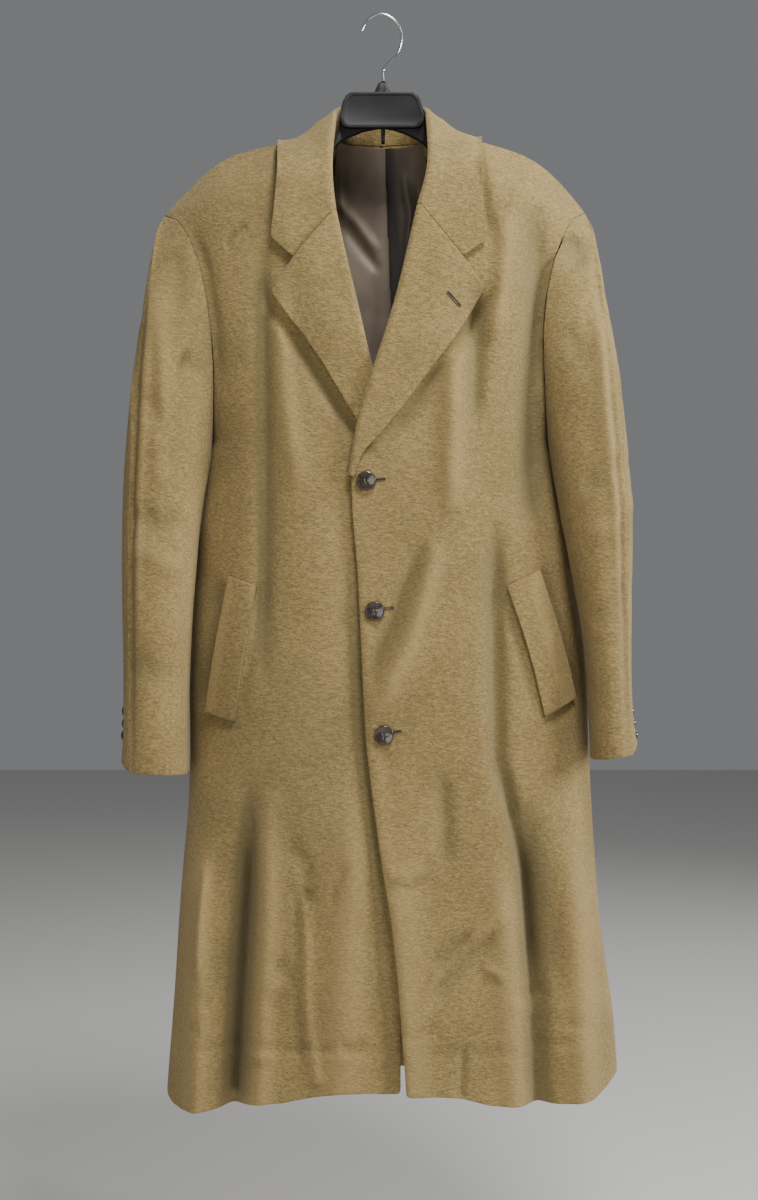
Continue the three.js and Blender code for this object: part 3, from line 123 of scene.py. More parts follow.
def addNode(tree, kind, inputs, output=0, **settings):
    node = tree.nodes.new(kind)
    for key, value in settings.items():
        setattr(node, key, value)
    for key, value in inputs.items():
        if isinstance(value, Flow):
            tree.links.new(value.socket, node.inputs[key])
        else:
            node.inputs[key].default_value = value
    return Flow(tree, node.outputs[output])


def newMaterial(name):
    material = bpy.data.materials.new(name)
    material.use_nodes = True
    tree = material.node_tree
    return material, tree, tree.nodes["Principled BSDF"]


def noise(tree, place, scale, detail=3.0, roughness=0.55, distortion=0.0):
    sockets = {"Vector": place, "Scale": scale, "Detail": detail, "Roughness": roughness,
               "Distortion": distortion}
    return addNode(tree, "ShaderNodeTexNoise", sockets)


def attribute(tree, name):
    return addNode(tree, "ShaderNodeAttribute", {}, output=2, attribute_name=name)


def bumpOf(tree, height, strength, distance, **under):
    sockets = {"Strength": strength, "Distance": distance, "Height": height}
    return addNode(tree, "ShaderNodeBump", dict(sockets, **under))


def setSockets(tree, shader, **values):
    for key, value in values.items():
        socket = shader.inputs[key.replace("_", " ")]
        if isinstance(value, Flow):
            tree.links.new(value.socket, socket)
        else:
            socket.default_value = value


def objectPlace(tree, stretch=(1, 1, 1), turn=(0, 0, 0)):
    place = addNode(tree, "ShaderNodeTexCoord", {}, output=3)
    squeezed = addNode(tree, "ShaderNodeVectorMath", {0: place, 1: stretch}, operation="MULTIPLY")
    if turn == (0, 0, 0):
        return squeezed
    return addNode(tree, "ShaderNodeMapping", {"Vector": squeezed, "Rotation": turn})


# napped wool: fine nap over coarser tufts, greener at random where it is worn; on top, painted shade greens
# the fold troughs and turns the deepest troughs and the welt seams near black, and a painted highlight
# lightens the ridges
wool = {
    "light": (0.41, 0.294, 0.124, 1), "mid": (0.30, 0.213, 0.083, 1), "dark": (0.180, 0.131, 0.053, 1),
    # deep is the colour of the painted shadow in the deepest troughs; green serves both the random wear and
    # the painted shade in the troughs
    "deep": (0.040, 0.030, 0.014, 1), "wornAndShadeGreen": (0.180, 0.148, 0.068, 1), "sheen": (0.95, 0.82, 0.6, 1),
    "napScale": 900, "tuftScale": 300, "cloudScale": 11, "wornScale": 3.2,
    "napShare": 0.4, "tuftShare": 0.36, "cloudShare": 0.24, "wornShare": 0.35,
    # shares of painted shade in the troughs, painted highlight on the ridges and painted shadow in the
    # deepest troughs, and the fold height at which they are full
    "troughShadeShare": 0.55, "ridgeHighlightShare": 0.4, "deepShadowShare": 0.85, "shadingDepth": 0.006,
    "tuftHeight": 0.0019, "napHeight": 0.0009, "bumpStrength": 0.8,
}


def makeWool(name):
    material, tree, shader = newMaterial(name)
    nap = noise(tree, objectPlace(tree, (0.42, 1.0, 1.2)), wool["napScale"], 4.0, 0.62, 0.6)
    tuft = noise(tree, objectPlace(tree, (0.5, 1.0, 1.1), (0, 0.35, 0)), wool["tuftScale"], 3.0, 0.6, 0.5)
    cloud = noise(tree, objectPlace(tree), wool["cloudScale"], 3.0, 0.5)
    worn = noise(tree, objectPlace(tree, (1.3, 1.0, 0.5)), wool["wornScale"], 2.0)
    tone = nap.spread(0.36, 0.64) * wool["napShare"] + tuft.spread(0.34, 0.66) * wool["tuftShare"]
    tone = tone + cloud.spread(0.25, 0.75) * wool["cloudShare"]
    colour = tone.spread(0.18, 0.62).between(wool["dark"], wool["mid"])
    colour = tone.spread(0.5, 0.95).between(colour, wool["light"])
    colour = (worn.spread(0.52, 0.75) * wool["wornShare"]).between(colour, wool["wornAndShadeGreen"])
    # painted shading from the stored fold height: painted shade in the troughs, painted highlight on the
    # ridges, painted shadow in the deepest troughs
    paintedShading = attribute(tree, "paintedShading")
    depth = wool["shadingDepth"]
    colour = (paintedShading.spread(0.0, -depth) * wool["troughShadeShare"]).between(colour, wool["wornAndShadeGreen"])
    colour = (paintedShading.spread(0.0, depth) * wool["ridgeHighlightShare"]).between(colour, wool["light"])
    colour = (paintedShading.spread(-0.010, -0.030) * wool["deepShadowShare"]).between(colour, wool["deep"])
    rough = bumpOf(tree, tuft, wool["bumpStrength"], wool["tuftHeight"])
    fine = bumpOf(tree, nap, wool["bumpStrength"], wool["napHeight"], Normal=rough)
    setSockets(tree, shader, Base_Color=colour, Normal=fine, Roughness=0.92, Specular_IOR_Level=0.18,
               Sheen_Weight=0.22, Sheen_Roughness=0.45, Sheen_Tint=wool["sheen"])
    return material


# lining satin: painted shade, read from a stored value, darkens it beside the pleat, low down and under the
# fronts
satinLook = {
    "low": (0.22, 0.168, 0.118, 1), "high": (0.40, 0.315, 0.225, 1), "gloom": (0.014, 0.010, 0.008, 1),
    "gloomShare": 0.92, "weaveScale": 320.0, "cloudScale": 14, "weaveHeight": 0.0003,
}


def makeSatin(name):
    material, tree, shader = newMaterial(name)
    sockets = {"Vector": objectPlace(tree), "Scale": satinLook["weaveScale"], "Distortion": 1.2}
    weave = addNode(tree, "ShaderNodeTexWave", sockets)
    cloud = noise(tree, objectPlace(tree), satinLook["cloudScale"])
    lit = cloud.spread(0.3, 0.7).between(satinLook["low"], satinLook["high"])
    # painted shade: mixes towards near black where the stored value is high
    colour = (attribute(tree, "paintedShading") * satinLook["gloomShare"]).between(lit, satinLook["gloom"])
    setSockets(tree, shader, Base_Color=colour, Normal=bumpOf(tree, weave, 0.12, satinLook["weaveHeight"]),
               Roughness=cloud * 0.12 + 0.44, Sheen_Weight=0.15)
    return material


def makeHorn(name):
    material, tree, shader = newMaterial(name)
    streak = noise(tree, objectPlace(tree, (1, 1, 3)), 120, 4.0, 0.6, 1.5)
    colour = streak.spread(0.35, 0.7).between((0.012, 0.008, 0.006, 1), (0.065, 0.042, 0.028, 1))
    setSockets(tree, shader, Base_Color=colour, Roughness=0.2, Coat_Weight=1.0, Coat_Roughness=0.11)
    return material


def makePlastic(name):
    material, tree, shader = newMaterial(name)
    grain = noise(tree, objectPlace(tree), 900, 2.0)
    cloud = noise(tree, objectPlace(tree), 25)
    colour = cloud.spread(0.3, 0.7).between((0.014, 0.013, 0.014, 1), (0.024, 0.022, 0.023, 1))
    setSockets(tree, shader, Base_Color=colour, Normal=bumpOf(tree, grain, 0.15, 0.0002), Roughness=0.5,
               Specular_IOR_Level=0.3)
    return material


def makeSteel(name):
    material, tree, shader = newMaterial(name)
    smudge = noise(tree, objectPlace(tree), 90)
    setSockets(tree, shader, Base_Color=(0.72, 0.72, 0.72, 1), Metallic=1.0, Roughness=smudge * 0.18 + 0.08)
    return material


def makeThread(name, colour):
    material, tree, shader = newMaterial(name)
    twist = noise(tree, objectPlace(tree), 1400, 2.0)
    shaded = tuple(c * 0.6 for c in colour[:3]) + (1,)
    setSockets(tree, shader, Base_Color=twist.spread(0.3, 0.7).between(shaded, colour), Roughness=0.8)
    return material


woolCloth = makeWool("woolCloth")
woolCollar = makeWool("woolCollar")
satin = makeSatin("liningSatin")
horn = makeHorn("buttonHorn")
plastic = makePlastic("hangerPlastic")
steel = makeSteel("hookSteel")
stitchThread = makeThread("stitchThread", (0.26, 0.21, 0.16, 1))
# near-black material for the buttonhole slits: painted shade inside the cut
slitShade = makeThread("slitShade", (0.05, 0.035, 0.025, 1))
holeThread = makeThread("holeThread", (0.13, 0.095, 0.05, 1))
print("materials ready")

# folds of the hanging cloth, as seen from the front: each runs through its points (x, z in metres),
# with its half width and its height: plus is a ridge, minus a trough
frontCreases = [
    {"wide": 0.010, "lift": -0.0035, "run": [(-0.140, -0.285), (-0.141, -0.40), (-0.139, -0.60),
             (-0.142, -0.83)]},
    {"wide": 0.014, "lift": 0.0025, "run": [(-0.120, -0.33), (-0.119, -0.45), (-0.100, -0.60)]},
    {"wide": 0.0032, "lift": -0.0016, "run": [(-0.186, -0.305), (-0.180, -0.293), (-0.171, -0.281)]},
    {"wide": 0.0035, "lift": -0.0012, "run": [(-0.172, -0.283), (-0.160, -0.279)]},
    {"wide": 0.0028, "lift": -0.0014, "run": [(-0.123, -0.172), (-0.150, -0.180), (-0.175, -0.188),
             (-0.196, -0.197)]},
    {"wide": 0.012, "lift": -0.006, "run": [(-0.156, -0.94), (-0.163, -1.07), (-0.172, -1.20),
             (-0.180, -1.36)]},
    {"wide": 0.016, "lift": 0.004, "run": [(-0.135, -0.95), (-0.140, -1.10), (-0.150, -1.36)]},
    {"wide": 0.016, "lift": 0.004, "run": [(-0.215, -1.00), (-0.222, -1.15), (-0.226, -1.36)]},
    {"wide": 0.009, "lift": -0.0015, "run": [(-0.110, -1.02), (-0.090, -1.045), (-0.078, -1.05)]},
    {"wide": 0.009, "lift": -0.0015, "run": [(-0.125, -1.16), (-0.105, -1.19)]},
    {"wide": 0.011, "lift": -0.004, "run": [(0.113, -0.345), (0.117, -0.42), (0.111, -0.52)]},
    {"wide": 0.013, "lift": 0.003, "run": [(0.087, -0.41), (0.088, -0.50), (0.084, -0.63)]},
    {"wide": 0.012, "lift": 0.003, "run": [(0.155, -0.26), (0.150, -0.33), (0.137, -0.42)]},
    {"wide": 0.014, "lift": -0.005, "run": [(0.187, -0.25), (0.192, -0.34), (0.183, -0.48),
             (0.186, -0.64)]},
    {"wide": 0.012, "lift": 0.0035, "run": [(0.072, -0.66), (0.035, -0.78), (-0.010, -0.875)]},
    {"wide": 0.010, "lift": -0.0028, "run": [(0.052, -0.66), (0.018, -0.76), (-0.015, -0.83)]},
    {"wide": 0.011, "lift": -0.0045, "run": [(0.138, -0.63), (0.139, -0.78), (0.142, -0.93),
             (0.165, -1.00)]},
    {"wide": 0.013, "lift": -0.006, "run": [(0.170, -0.98), (0.180, -1.10), (0.187, -1.22),
             (0.192, -1.36)]},
    {"wide": 0.018, "lift": 0.004, "run": [(0.145, -1.02), (0.156, -1.18), (0.165, -1.36)]},
    {"wide": 0.018, "lift": 0.004, "run": [(0.235, -1.0), (0.245, -1.18), (0.252, -1.36)]},
    {"wide": 0.009, "lift": -0.002, "run": [(0.060, -1.165), (0.085, -1.150), (0.112, -1.128)]},
    {"wide": 0.022, "lift": 0.003, "run": [(0.020, -1.0), (0.028, -1.15), (0.040, -1.34)]},
    {"wide": 0.024, "lift": 0.003, "run": [(-0.030, -0.95), (-0.040, -1.12), (-0.048, -1.34)]},
    {"wide": 0.004, "lift": -0.0012, "run": [(-0.26, -1.279), (-0.16, -1.268), (-0.05, -1.268),
             (0.02, -1.27)]},
    {"wide": 0.004, "lift": -0.0012, "run": [(0.04, -1.27), (0.16, -1.274), (0.28, -1.255)]},
    {"wide": 0.0065, "lift": -0.0036, "run": [(-0.156, -0.978), (-0.158, -1.031), (-0.164, -1.106),
             (-0.167, -1.153), (-0.173, -1.239), (-0.177, -1.323)]},
    {"wide": 0.012, "lift": -0.0022, "run": [(-0.149, -1.028), (-0.153, -1.106), (-0.158, -1.16),
             (-0.164, -1.244), (-0.168, -1.323)]},
    {"wide": 0.007, "lift": 0.0028, "run": [(-0.211, -1.047), (-0.217, -1.088), (-0.22, -1.124),
             (-0.223, -1.19)]},
    {"wide": 0.004, "lift": -0.0024, "run": [(-0.23, -1.227), (-0.219, -1.222), (-0.206, -1.219)]},
    {"wide": 0.0045, "lift": 0.0018, "run": [(-0.232, -1.234), (-0.22, -1.229), (-0.207, -1.226)]},
    {"wide": 0.0045, "lift": -0.0015, "run": [(-0.23, -1.251), (-0.218, -1.249)]},
    {"wide": 0.0035, "lift": -0.0018, "run": [(-0.097, -1.059), (-0.09, -1.064), (-0.077, -1.052)]},
    {"wide": 0.006, "lift": -0.0022, "run": [(-0.089, -1.076), (-0.085, -1.09)]},
    {"wide": 0.007, "lift": 0.0016, "run": [(-0.093, -1.071), (-0.089, -1.141), (-0.089, -1.21),
             (-0.077, -1.304)]},
    {"wide": 0.006, "lift": -0.0012, "run": [(-0.101, -1.071), (-0.098, -1.141), (-0.099, -1.21),
             (-0.096, -1.292)]},
    {"wide": 0.0045, "lift": 0.0013, "run": [(-0.139, -1.196), (-0.125, -1.189), (-0.113, -1.177)]},
    {"wide": 0.005, "lift": -0.0012, "run": [(-0.141, -1.22), (-0.12, -1.211), (-0.105, -1.196)]},
    {"wide": 0.007, "lift": -0.0014, "run": [(-0.06, -1.094), (-0.048, -1.064), (-0.041, -1.04)]},
    {"wide": 0.005, "lift": 0.0015, "run": [(-0.163, -1.27), (-0.141, -1.28), (-0.125, -1.275)]},
    {"wide": 0.006, "lift": -0.0014, "run": [(-0.05, -1.263), (-0.034, -1.265), (-0.017, -1.26)]},
    {"wide": 0.007, "lift": -0.0042, "run": [(0.15, -0.937), (0.162, -1.008), (0.176, -1.059),
             (0.183, -1.138), (0.186, -1.181), (0.189, -1.202)]},
    {"wide": 0.02, "lift": -0.0022, "run": [(0.165, -0.968), (0.187, -1.04), (0.201, -1.124),
             (0.211, -1.208)]},
    {"wide": 0.011, "lift": -0.0022, "run": [(0.072, -0.935), (0.079, -1.008), (0.077, -1.052)]},
    {"wide": 0.006, "lift": 0.0022, "run": [(0.01, -1.066), (0.034, -1.059), (0.057, -1.05)]},
    {"wide": 0.006, "lift": -0.0014, "run": [(0.007, -1.078), (0.036, -1.071), (0.06, -1.062)]},
    {"wide": 0.005, "lift": 0.0026, "run": [(0.048, -1.211), (0.069, -1.178), (0.115, -1.135),
             (0.151, -1.105)]},
    {"wide": 0.008, "lift": -0.0018, "run": [(0.06, -1.217), (0.081, -1.186), (0.122, -1.148),
             (0.153, -1.122)]},
    {"wide": 0.0045, "lift": 0.002, "run": [(0.121, -1.167), (0.135, -1.175), (0.151, -1.184)]},
    {"wide": 0.004, "lift": 0.0022, "run": [(0.156, -1.22), (0.174, -1.222), (0.192, -1.225)]},
    {"wide": 0.005, "lift": -0.002, "run": [(0.18, -1.205), (0.194, -1.203), (0.206, -1.208)]},
    {"wide": 0.004, "lift": -0.0016, "run": [(0.101, -1.263), (0.099, -1.292), (0.098, -1.323)]},
    {"wide": 0.004, "lift": 0.0016, "run": [(0.16, -1.272), (0.176, -1.271), (0.192, -1.271)]},
    {"wide": 0.005, "lift": -0.0014, "run": [(0.223, -1.241), (0.244, -1.244), (0.263, -1.246)]},
    {"wide": 0.006, "lift": -0.0012, "run": [(0.022, -1.256), (0.048, -1.249), (0.072, -1.239)]},
    {"wide": 0.007, "lift": -0.0016, "run": [(-0.228, -0.275), (-0.210, -0.325), (-0.198, -0.40),
             (-0.196, -0.47)]},
    {"wide": 0.007, "lift": -0.0016, "run": [(0.218, -0.28), (0.203, -0.33), (0.192, -0.40),
             (0.193, -0.47)]},
]

# the lower front sinks where the upper front's edge lies over it, and that edge rises a little
underFrontCreases = [
    {"wide": 0.016, "lift": -0.0028, "run": [(-0.032, -0.62), (-0.027, -0.76), (-0.021, -0.89),
             (-0.005, -1.03), (0.009, -1.12), (0.020, -1.24), (0.026, -1.40)]},
]

overFrontCreases = [
    {"wide": 0.007, "lift": 0.0007, "run": [(-0.020, -0.61), (-0.016, -0.76), (-0.010, -0.89),
             (0.006, -1.03), (0.020, -1.12), (0.031, -1.24), (0.037, -1.40)]},
]

# the fronts sink a little just outside the edges of collar, lapels and welts, so the edges throw a shadow
edgeHollows = [
    {"wide": 0.008, "lift": -0.0022, "run": [(0.119, -0.17), (0.122, -0.21), (0.127, -0.26),
             (0.136, -0.30)]},
    {"wide": 0.008, "lift": -0.0026, "run": [(0.139, -0.335), (0.134, -0.362), (0.100, -0.415),
             (0.060, -0.468), (0.028, -0.512), (-0.012, -0.555)]},
    {"wide": 0.008, "lift": -0.0022, "run": [(-0.124, -0.17), (-0.128, -0.22), (-0.133, -0.26),
             (-0.141, -0.30)]},
    {"wide": 0.006, "lift": -0.0013, "run": [(-0.138, -0.705), (-0.146, -0.75), (-0.159, -0.81),
             (-0.170, -0.870)]},
    {"wide": 0.005, "lift": -0.0011, "run": [(-0.168, -0.877), (-0.190, -0.877), (-0.213, -0.870)]},
    {"wide": 0.011, "lift": -0.0034, "run": [(-0.192, -0.70), (-0.206, -0.78), (-0.222, -0.86)]},
    {"wide": 0.006, "lift": -0.0013, "run": [(0.147, -0.710), (0.157, -0.75), (0.175, -0.815),
             (0.190, -0.870)]},
    {"wide": 0.005, "lift": -0.0011, "run": [(0.194, -0.880), (0.218, -0.872), (0.238, -0.858)]},
    {"wide": 0.010, "lift": -0.0030, "run": [(0.199, -0.69), (0.212, -0.74), (0.228, -0.80),
             (0.246, -0.86)]},
    {"wide": 0.008, "lift": -0.0026, "run": [(-0.143, -0.34), (-0.139, -0.366), (-0.092, -0.435),
             (-0.062, -0.482), (-0.034, -0.526), (-0.004, -0.563)]},
]

folding = {"strength": 2.4, "hem": -1.3, "topFade": 4, "endFade": 5, "fadePower": 0.7}


def fieldOf(creases, across, up):
    total = np.zeros_like(across)
    for crease in creases:
        run = crease["run"]
        lengths = [0.0]
        for (ax, az), (bx, bz) in zip(run, run[1:]):
            lengths.append(lengths[-1] + math.hypot(bx - ax, bz - az))
        nearest = np.full_like(across, 9.0)
        share = np.zeros_like(across)
        for i, ((ax, az), (bx, bz)) in enumerate(zip(run, run[1:])):
            dx, dz = bx - ax, bz - az
            length = math.hypot(dx, dz)
            t = np.clip(((across - ax) * dx + (up - az) * dz) / length ** 2, 0, 1)
            away = np.hypot(across - ax - t * dx, up - az - t * dz)
            closer = away < nearest
            nearest = np.where(closer, away, nearest)
            share = np.where(closer, (lengths[i] + t * length) / lengths[-1], share)
        # a fold that reaches the hem stays open there, others fade out at both ends
        if min(point[1] for point in run) <= folding["hem"]:
            taper = np.clip(share * folding["topFade"], 0, 1)
        else:
            ends = np.minimum(share, 1 - share)
            taper = np.clip(ends * folding["endFade"], 0, 1) ** folding["fadePower"]
        total += folding["strength"] * crease["lift"] * np.exp(-(nearest / crease["wide"]) ** 2) * taper
    return total


def ripple(across, up, seed, size, amount):
    a = np.sin(across / size * 1.3 + seed) * np.cos(up / size * 0.7 + seed * 2.1)
    b = np.sin(across / size * 0.6 - up / size * 1.1 + seed * 1.7)
    return amount * (a + 0.6 * b) / 1.6


def readPoints(mesh):
    points = np.zeros(len(mesh.vertices) * 3, np.float64)
    mesh.vertices.foreach_get("co", points)
    return points.reshape(-1, 3)


def writePoints(mesh, points):
    mesh.vertices.foreach_set("co", points.reshape(-1))
    mesh.update()


def selectOnly(thing):
    bpy.ops.object.select_all(action="DESELECT")
    thing.select_set(True)
    bpy.context.view_layer.objects.active = thing


clothMaking = {
    "merge": 0.00003, "quadFace": 70, "quadShape": 120, "rimAngle": 55, "rimCrease": 0.42, "foldCrease": 0.46,
    "smallCrease": 0.5,
}


def clothFrom(nodeName, name, levels, rimCrease):
    mesh = nodes[nodeName].data.copy()
    cloth = bpy.data.objects.new(name, mesh)
    scene.collection.objects.link(cloth)
    mesh.materials.clear()
    selectOnly(cloth)
    bpy.ops.object.mode_set(mode="EDIT")
    bpy.ops.mesh.select_all(action="SELECT")
    bpy.ops.mesh.remove_doubles(threshold=clothMaking["merge"])
    bpy.ops.mesh.tris_convert_to_quads(face_threshold=math.radians(clothMaking["quadFace"]),
                                       shape_threshold=math.radians(clothMaking["quadShape"]))
    bpy.ops.mesh.normals_make_consistent(inside=False)
    bpy.ops.mesh.select_all(action="DESELECT")
    bpy.ops.mesh.edges_select_sharp(sharpness=math.radians(clothMaking["rimAngle"]))
    bpy.ops.transform.edge_crease(value=rimCrease)
    bpy.ops.mesh.select_all(action="DESELECT")
    bpy.ops.object.mode_set(mode="OBJECT")
    smooth = cloth.modifiers.new("smooth", "SUBSURF")
    smooth.levels = levels
    smooth.render_levels = levels
    bpy.ops.object.modifier_apply(modifier=smooth.name)
    bpy.ops.object.shade_smooth()
    return cloth


def finishCloth(cloth, nodeName, material):
    cloth.data.materials.append(material)
    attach(cloth, "root")
    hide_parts(nodeName)


frontRipple = {"size": 0.045, "amount": 0.0006}
# the body swells a little at the sides below the armholes, behind the sleeves
sideFill = {
    "top": -0.532, "full": -0.550, "low": -0.70, "lowFull": -0.64, "inner": 0.175, "outer": 0.205,
    "amount": 0.0055,
}


# stores a value per point that the materials turn into painted shade and painted highlight
def writePaintedShading(cloth, lift):
    paintedShading = cloth.data.attributes.new("paintedShading", "FLOAT", "POINT")
    paintedShading.data.foreach_set("value", lift.astype(np.float32))


def pushFront(cloth, creases, share=1.0, seed=0.0):
    points = readPoints(cloth.data)
    lift = fieldOf(creases, points[:, 0], points[:, 2])
    # the fold field, stored for painted shade in the troughs and a painted highlight on the ridges
    writePaintedShading(cloth, lift * share)
    lift = lift + ripple(points[:, 0], points[:, 2], seed, frontRipple["size"], frontRipple["amount"])
    points[:, 1] -= lift * share
    writePoints(cloth.data, points)


def rise(values, start, end):
    return np.clip((values - start) / (end - start), 0, 1)


def fillSides(points):
    up, out = points[:, 2], np.abs(points[:, 0])
    band = rise(up, sideFill["top"], sideFill["full"]) * rise(up, sideFill["low"], sideFill["lowFull"])
    near = rise(out, sideFill["inner"], sideFill["outer"]) ** 2
    points[:, 0] += np.sign(points[:, 0]) * sideFill["amount"] * band * near


# fronts
frontFlat = {"right": ((0.32, 1.20), 0.312), "left": ((0.36, 1.20), 0.313)}
overlap = {"right": underFrontCreases, "left": overFrontCreases}
fronts = {}
for side, (flat, area) in frontFlat.items():
    cloth = clothFrom("front_" + side, "frontCloth_" + side, 3, clothMaking["rimCrease"])
    pushFront(cloth, frontCreases + edgeHollows + overlap[side])
    points = readPoints(cloth.data)
    fillSides(points)
    writePoints(cloth.data, points)
    finishCloth(cloth, "front_" + side, woolCloth)
    fronts[side] = cloth
print("fronts done")

# backs: two long soft folds from the shoulder blades and a slight drag at the waist
backCreases = [
    {"wide": 0.020, "lift": -0.006, "run": [(-0.11, -0.50), (-0.12, -0.80), (-0.14, -1.10),
             (-0.155, -1.36)]},
    {"wide": 0.022, "lift": -0.007, "run": [(0.10, -0.55), (0.115, -0.85), (0.14, -1.12), (0.16, -1.36)]},
    {"wide": 0.026, "lift": 0.005, "run": [(-0.06, -0.70), (-0.07, -1.00), (-0.08, -1.36)]},
    {"wide": 0.026, "lift": 0.005, "run": [(0.055, -0.75), (0.065, -1.05), (0.08, -1.36)]},
    {"wide": 0.014, "lift": 0.003, "run": [(-0.16, -0.30), (-0.13, -0.38), (-0.12, -0.50)]},
    {"wide": 0.014, "lift": 0.003, "run": [(0.16, -0.31), (0.14, -0.40), (0.125, -0.52)]},
    {"wide": 0.012, "lift": -0.0018, "run": [(-0.18, -0.62), (-0.12, -0.66), (-0.05, -0.67)]},
]
backShape = {"fade": 0.03, "rippleSeed": 4.0, "rippleSize": 0.05, "rippleAmount": 0.0008}
for side, area in [("right", 0.308), ("left", 0.315)]:
    cloth = clothFrom("back_" + side, "backCloth_" + side, 3, clothMaking["rimCrease"])
    points = readPoints(cloth.data)
    behind = np.clip(points[:, 1] / backShape["fade"], 0, 1)
    lift = fieldOf(backCreases, points[:, 0], points[:, 2]) * behind
    # the fold field, stored for painted shade in the troughs and a painted highlight on the ridges
    writePaintedShading(cloth, lift)
    waves = ripple(points[:, 0], points[:, 2], backShape["rippleSeed"], backShape["rippleSize"],
                   backShape["rippleAmount"])
    points[:, 1] += lift + waves * behind
    fillSides(points)
    writePoints(cloth.data, points)
    finishCloth(cloth, "back_" + side, woolCloth)
print("backs done")

# sleeves: drags run round the arm, so the folds push along the way out from the arm's middle
sleeveCreases = {
    "right": [
        {"wide": 0.006, "lift": -0.0022, "run": [(-0.245, -0.44), (-0.228, -0.445), (-0.214, -0.455)]},
        {"wide": 0.012, "lift": -0.0025, "run": [(-0.30, -0.62), (-0.265, -0.64), (-0.235, -0.63)]},
        {"wide": 0.012, "lift": 0.002, "run": [(-0.30, -0.66), (-0.26, -0.685), (-0.235, -0.69)]},
        {"wide": 0.012, "lift": 0.003, "run": [(-0.275, -0.33), (-0.262, -0.45), (-0.262, -0.60)]},
        {"wide": 0.014, "lift": -0.0018, "run": [(-0.30, -0.80), (-0.27, -0.82), (-0.24, -0.815)]},
        {"wide": 0.0038, "lift": -0.0024, "run": [(-0.281, -0.33), (-0.292, -0.45), (-0.298, -0.60),
                 (-0.300, -0.78), (-0.299, -0.95)]},
        {"wide": 0.006, "lift": 0.0014, "run": [(-0.272, -0.34), (-0.283, -0.46), (-0.290, -0.60),
                 (-0.292, -0.78)]},
        {"wide": 0.013, "lift": -0.0022, "run": [(-0.252, -0.30), (-0.244, -0.34), (-0.246, -0.385)]},
        {"wide": 0.005, "lift": -0.0028, "run": [(-0.228, -0.43), (-0.246, -0.452)]},
        {"wide": 0.012, "lift": -0.0018, "run": [(-0.283, -0.47), (-0.262, -0.52), (-0.255, -0.58)]},
    ],
    "left": [
        {"wide": 0.016, "lift": -0.0055, "run": [(0.236, -0.285), (0.238, -0.305), (0.246, -0.325)]},
        {"wide": 0.012, "lift": 0.003, "run": [(0.27, -0.36), (0.268, -0.50), (0.285, -0.62)]},
        {"wide": 0.012, "lift": -0.003, "run": [(0.30, -0.55), (0.27, -0.585), (0.24, -0.59)]},
        {"wide": 0.012, "lift": 0.0025, "run": [(0.305, -0.60), (0.275, -0.64), (0.245, -0.65)]},
        {"wide": 0.012, "lift": -0.002, "run": [(0.30, -0.70), (0.28, -0.74), (0.255, -0.76)]},
        {"wide": 0.0038, "lift": -0.0024, "run": [(0.262, -0.30), (0.274, -0.42), (0.286, -0.56),
                 (0.294, -0.74), (0.297, -0.93)]},
        {"wide": 0.006, "lift": 0.0014, "run": [(0.253, -0.32), (0.265, -0.43), (0.278, -0.56),
                 (0.287, -0.74)]},
        {"wide": 0.010, "lift": -0.0016, "run": [(0.224, -0.40), (0.240, -0.43), (0.258, -0.44)]},
    ],
}
sleeveShape = {
    "parts": {"top": ((0.15, 0.69), 0.077), "under": ((0.18, 0.65), 0.094)},
    "height": (-0.94, -0.70, -0.50, -0.25), "middle": (0.276, 0.272, 0.262, 0.235), "axisY": -0.02,
    "share": 0.75, "fade": 0.02, "rippleSeed": 2.0, "rippleSize": 0.04, "rippleAmount": 0.0008,
    "calmLow": -0.90, "calmHigh": -0.84,
}
for side, sign in [("right", -1), ("left", 1)]:
    for part, (flat, area) in sleeveShape["parts"].items():
        nodeName = "sleeve_" + part + "_" + side
        cloth = clothFrom(nodeName, "sleeveCloth_" + part + "_" + side, 3, clothMaking["rimCrease"])
        points = readPoints(cloth.data)
        middle = np.interp(points[:, 2], sleeveShape["height"], sleeveShape["middle"]) * sign
        out = np.stack([points[:, 0] - middle, points[:, 1] - sleeveShape["axisY"]], axis=1)
        out /= np.maximum(np.linalg.norm(out, axis=1, keepdims=True), 1e-6)
        ahead = np.clip(-points[:, 1] / sleeveShape["fade"], 0, 1)
        lift = sleeveShape["share"] * fieldOf(sleeveCreases[side], points[:, 0], points[:, 2]) * ahead
        # the fold field, stored for painted shade in the troughs and a painted highlight on the ridges
        writePaintedShading(cloth, lift)
        waves = ripple(points[:, 0] + points[:, 1], points[:, 2], sleeveShape["rippleSeed"] + sign,
                       sleeveShape["rippleSize"], sleeveShape["rippleAmount"])
        lift = lift + waves * rise(points[:, 2], sleeveShape["calmLow"], sleeveShape["calmHigh"])
        points[:, :2] += out * lift[:, None]
        writePoints(cloth.data, points)
        finishCloth(cloth, nodeName, woolCloth)
print("sleeves done")

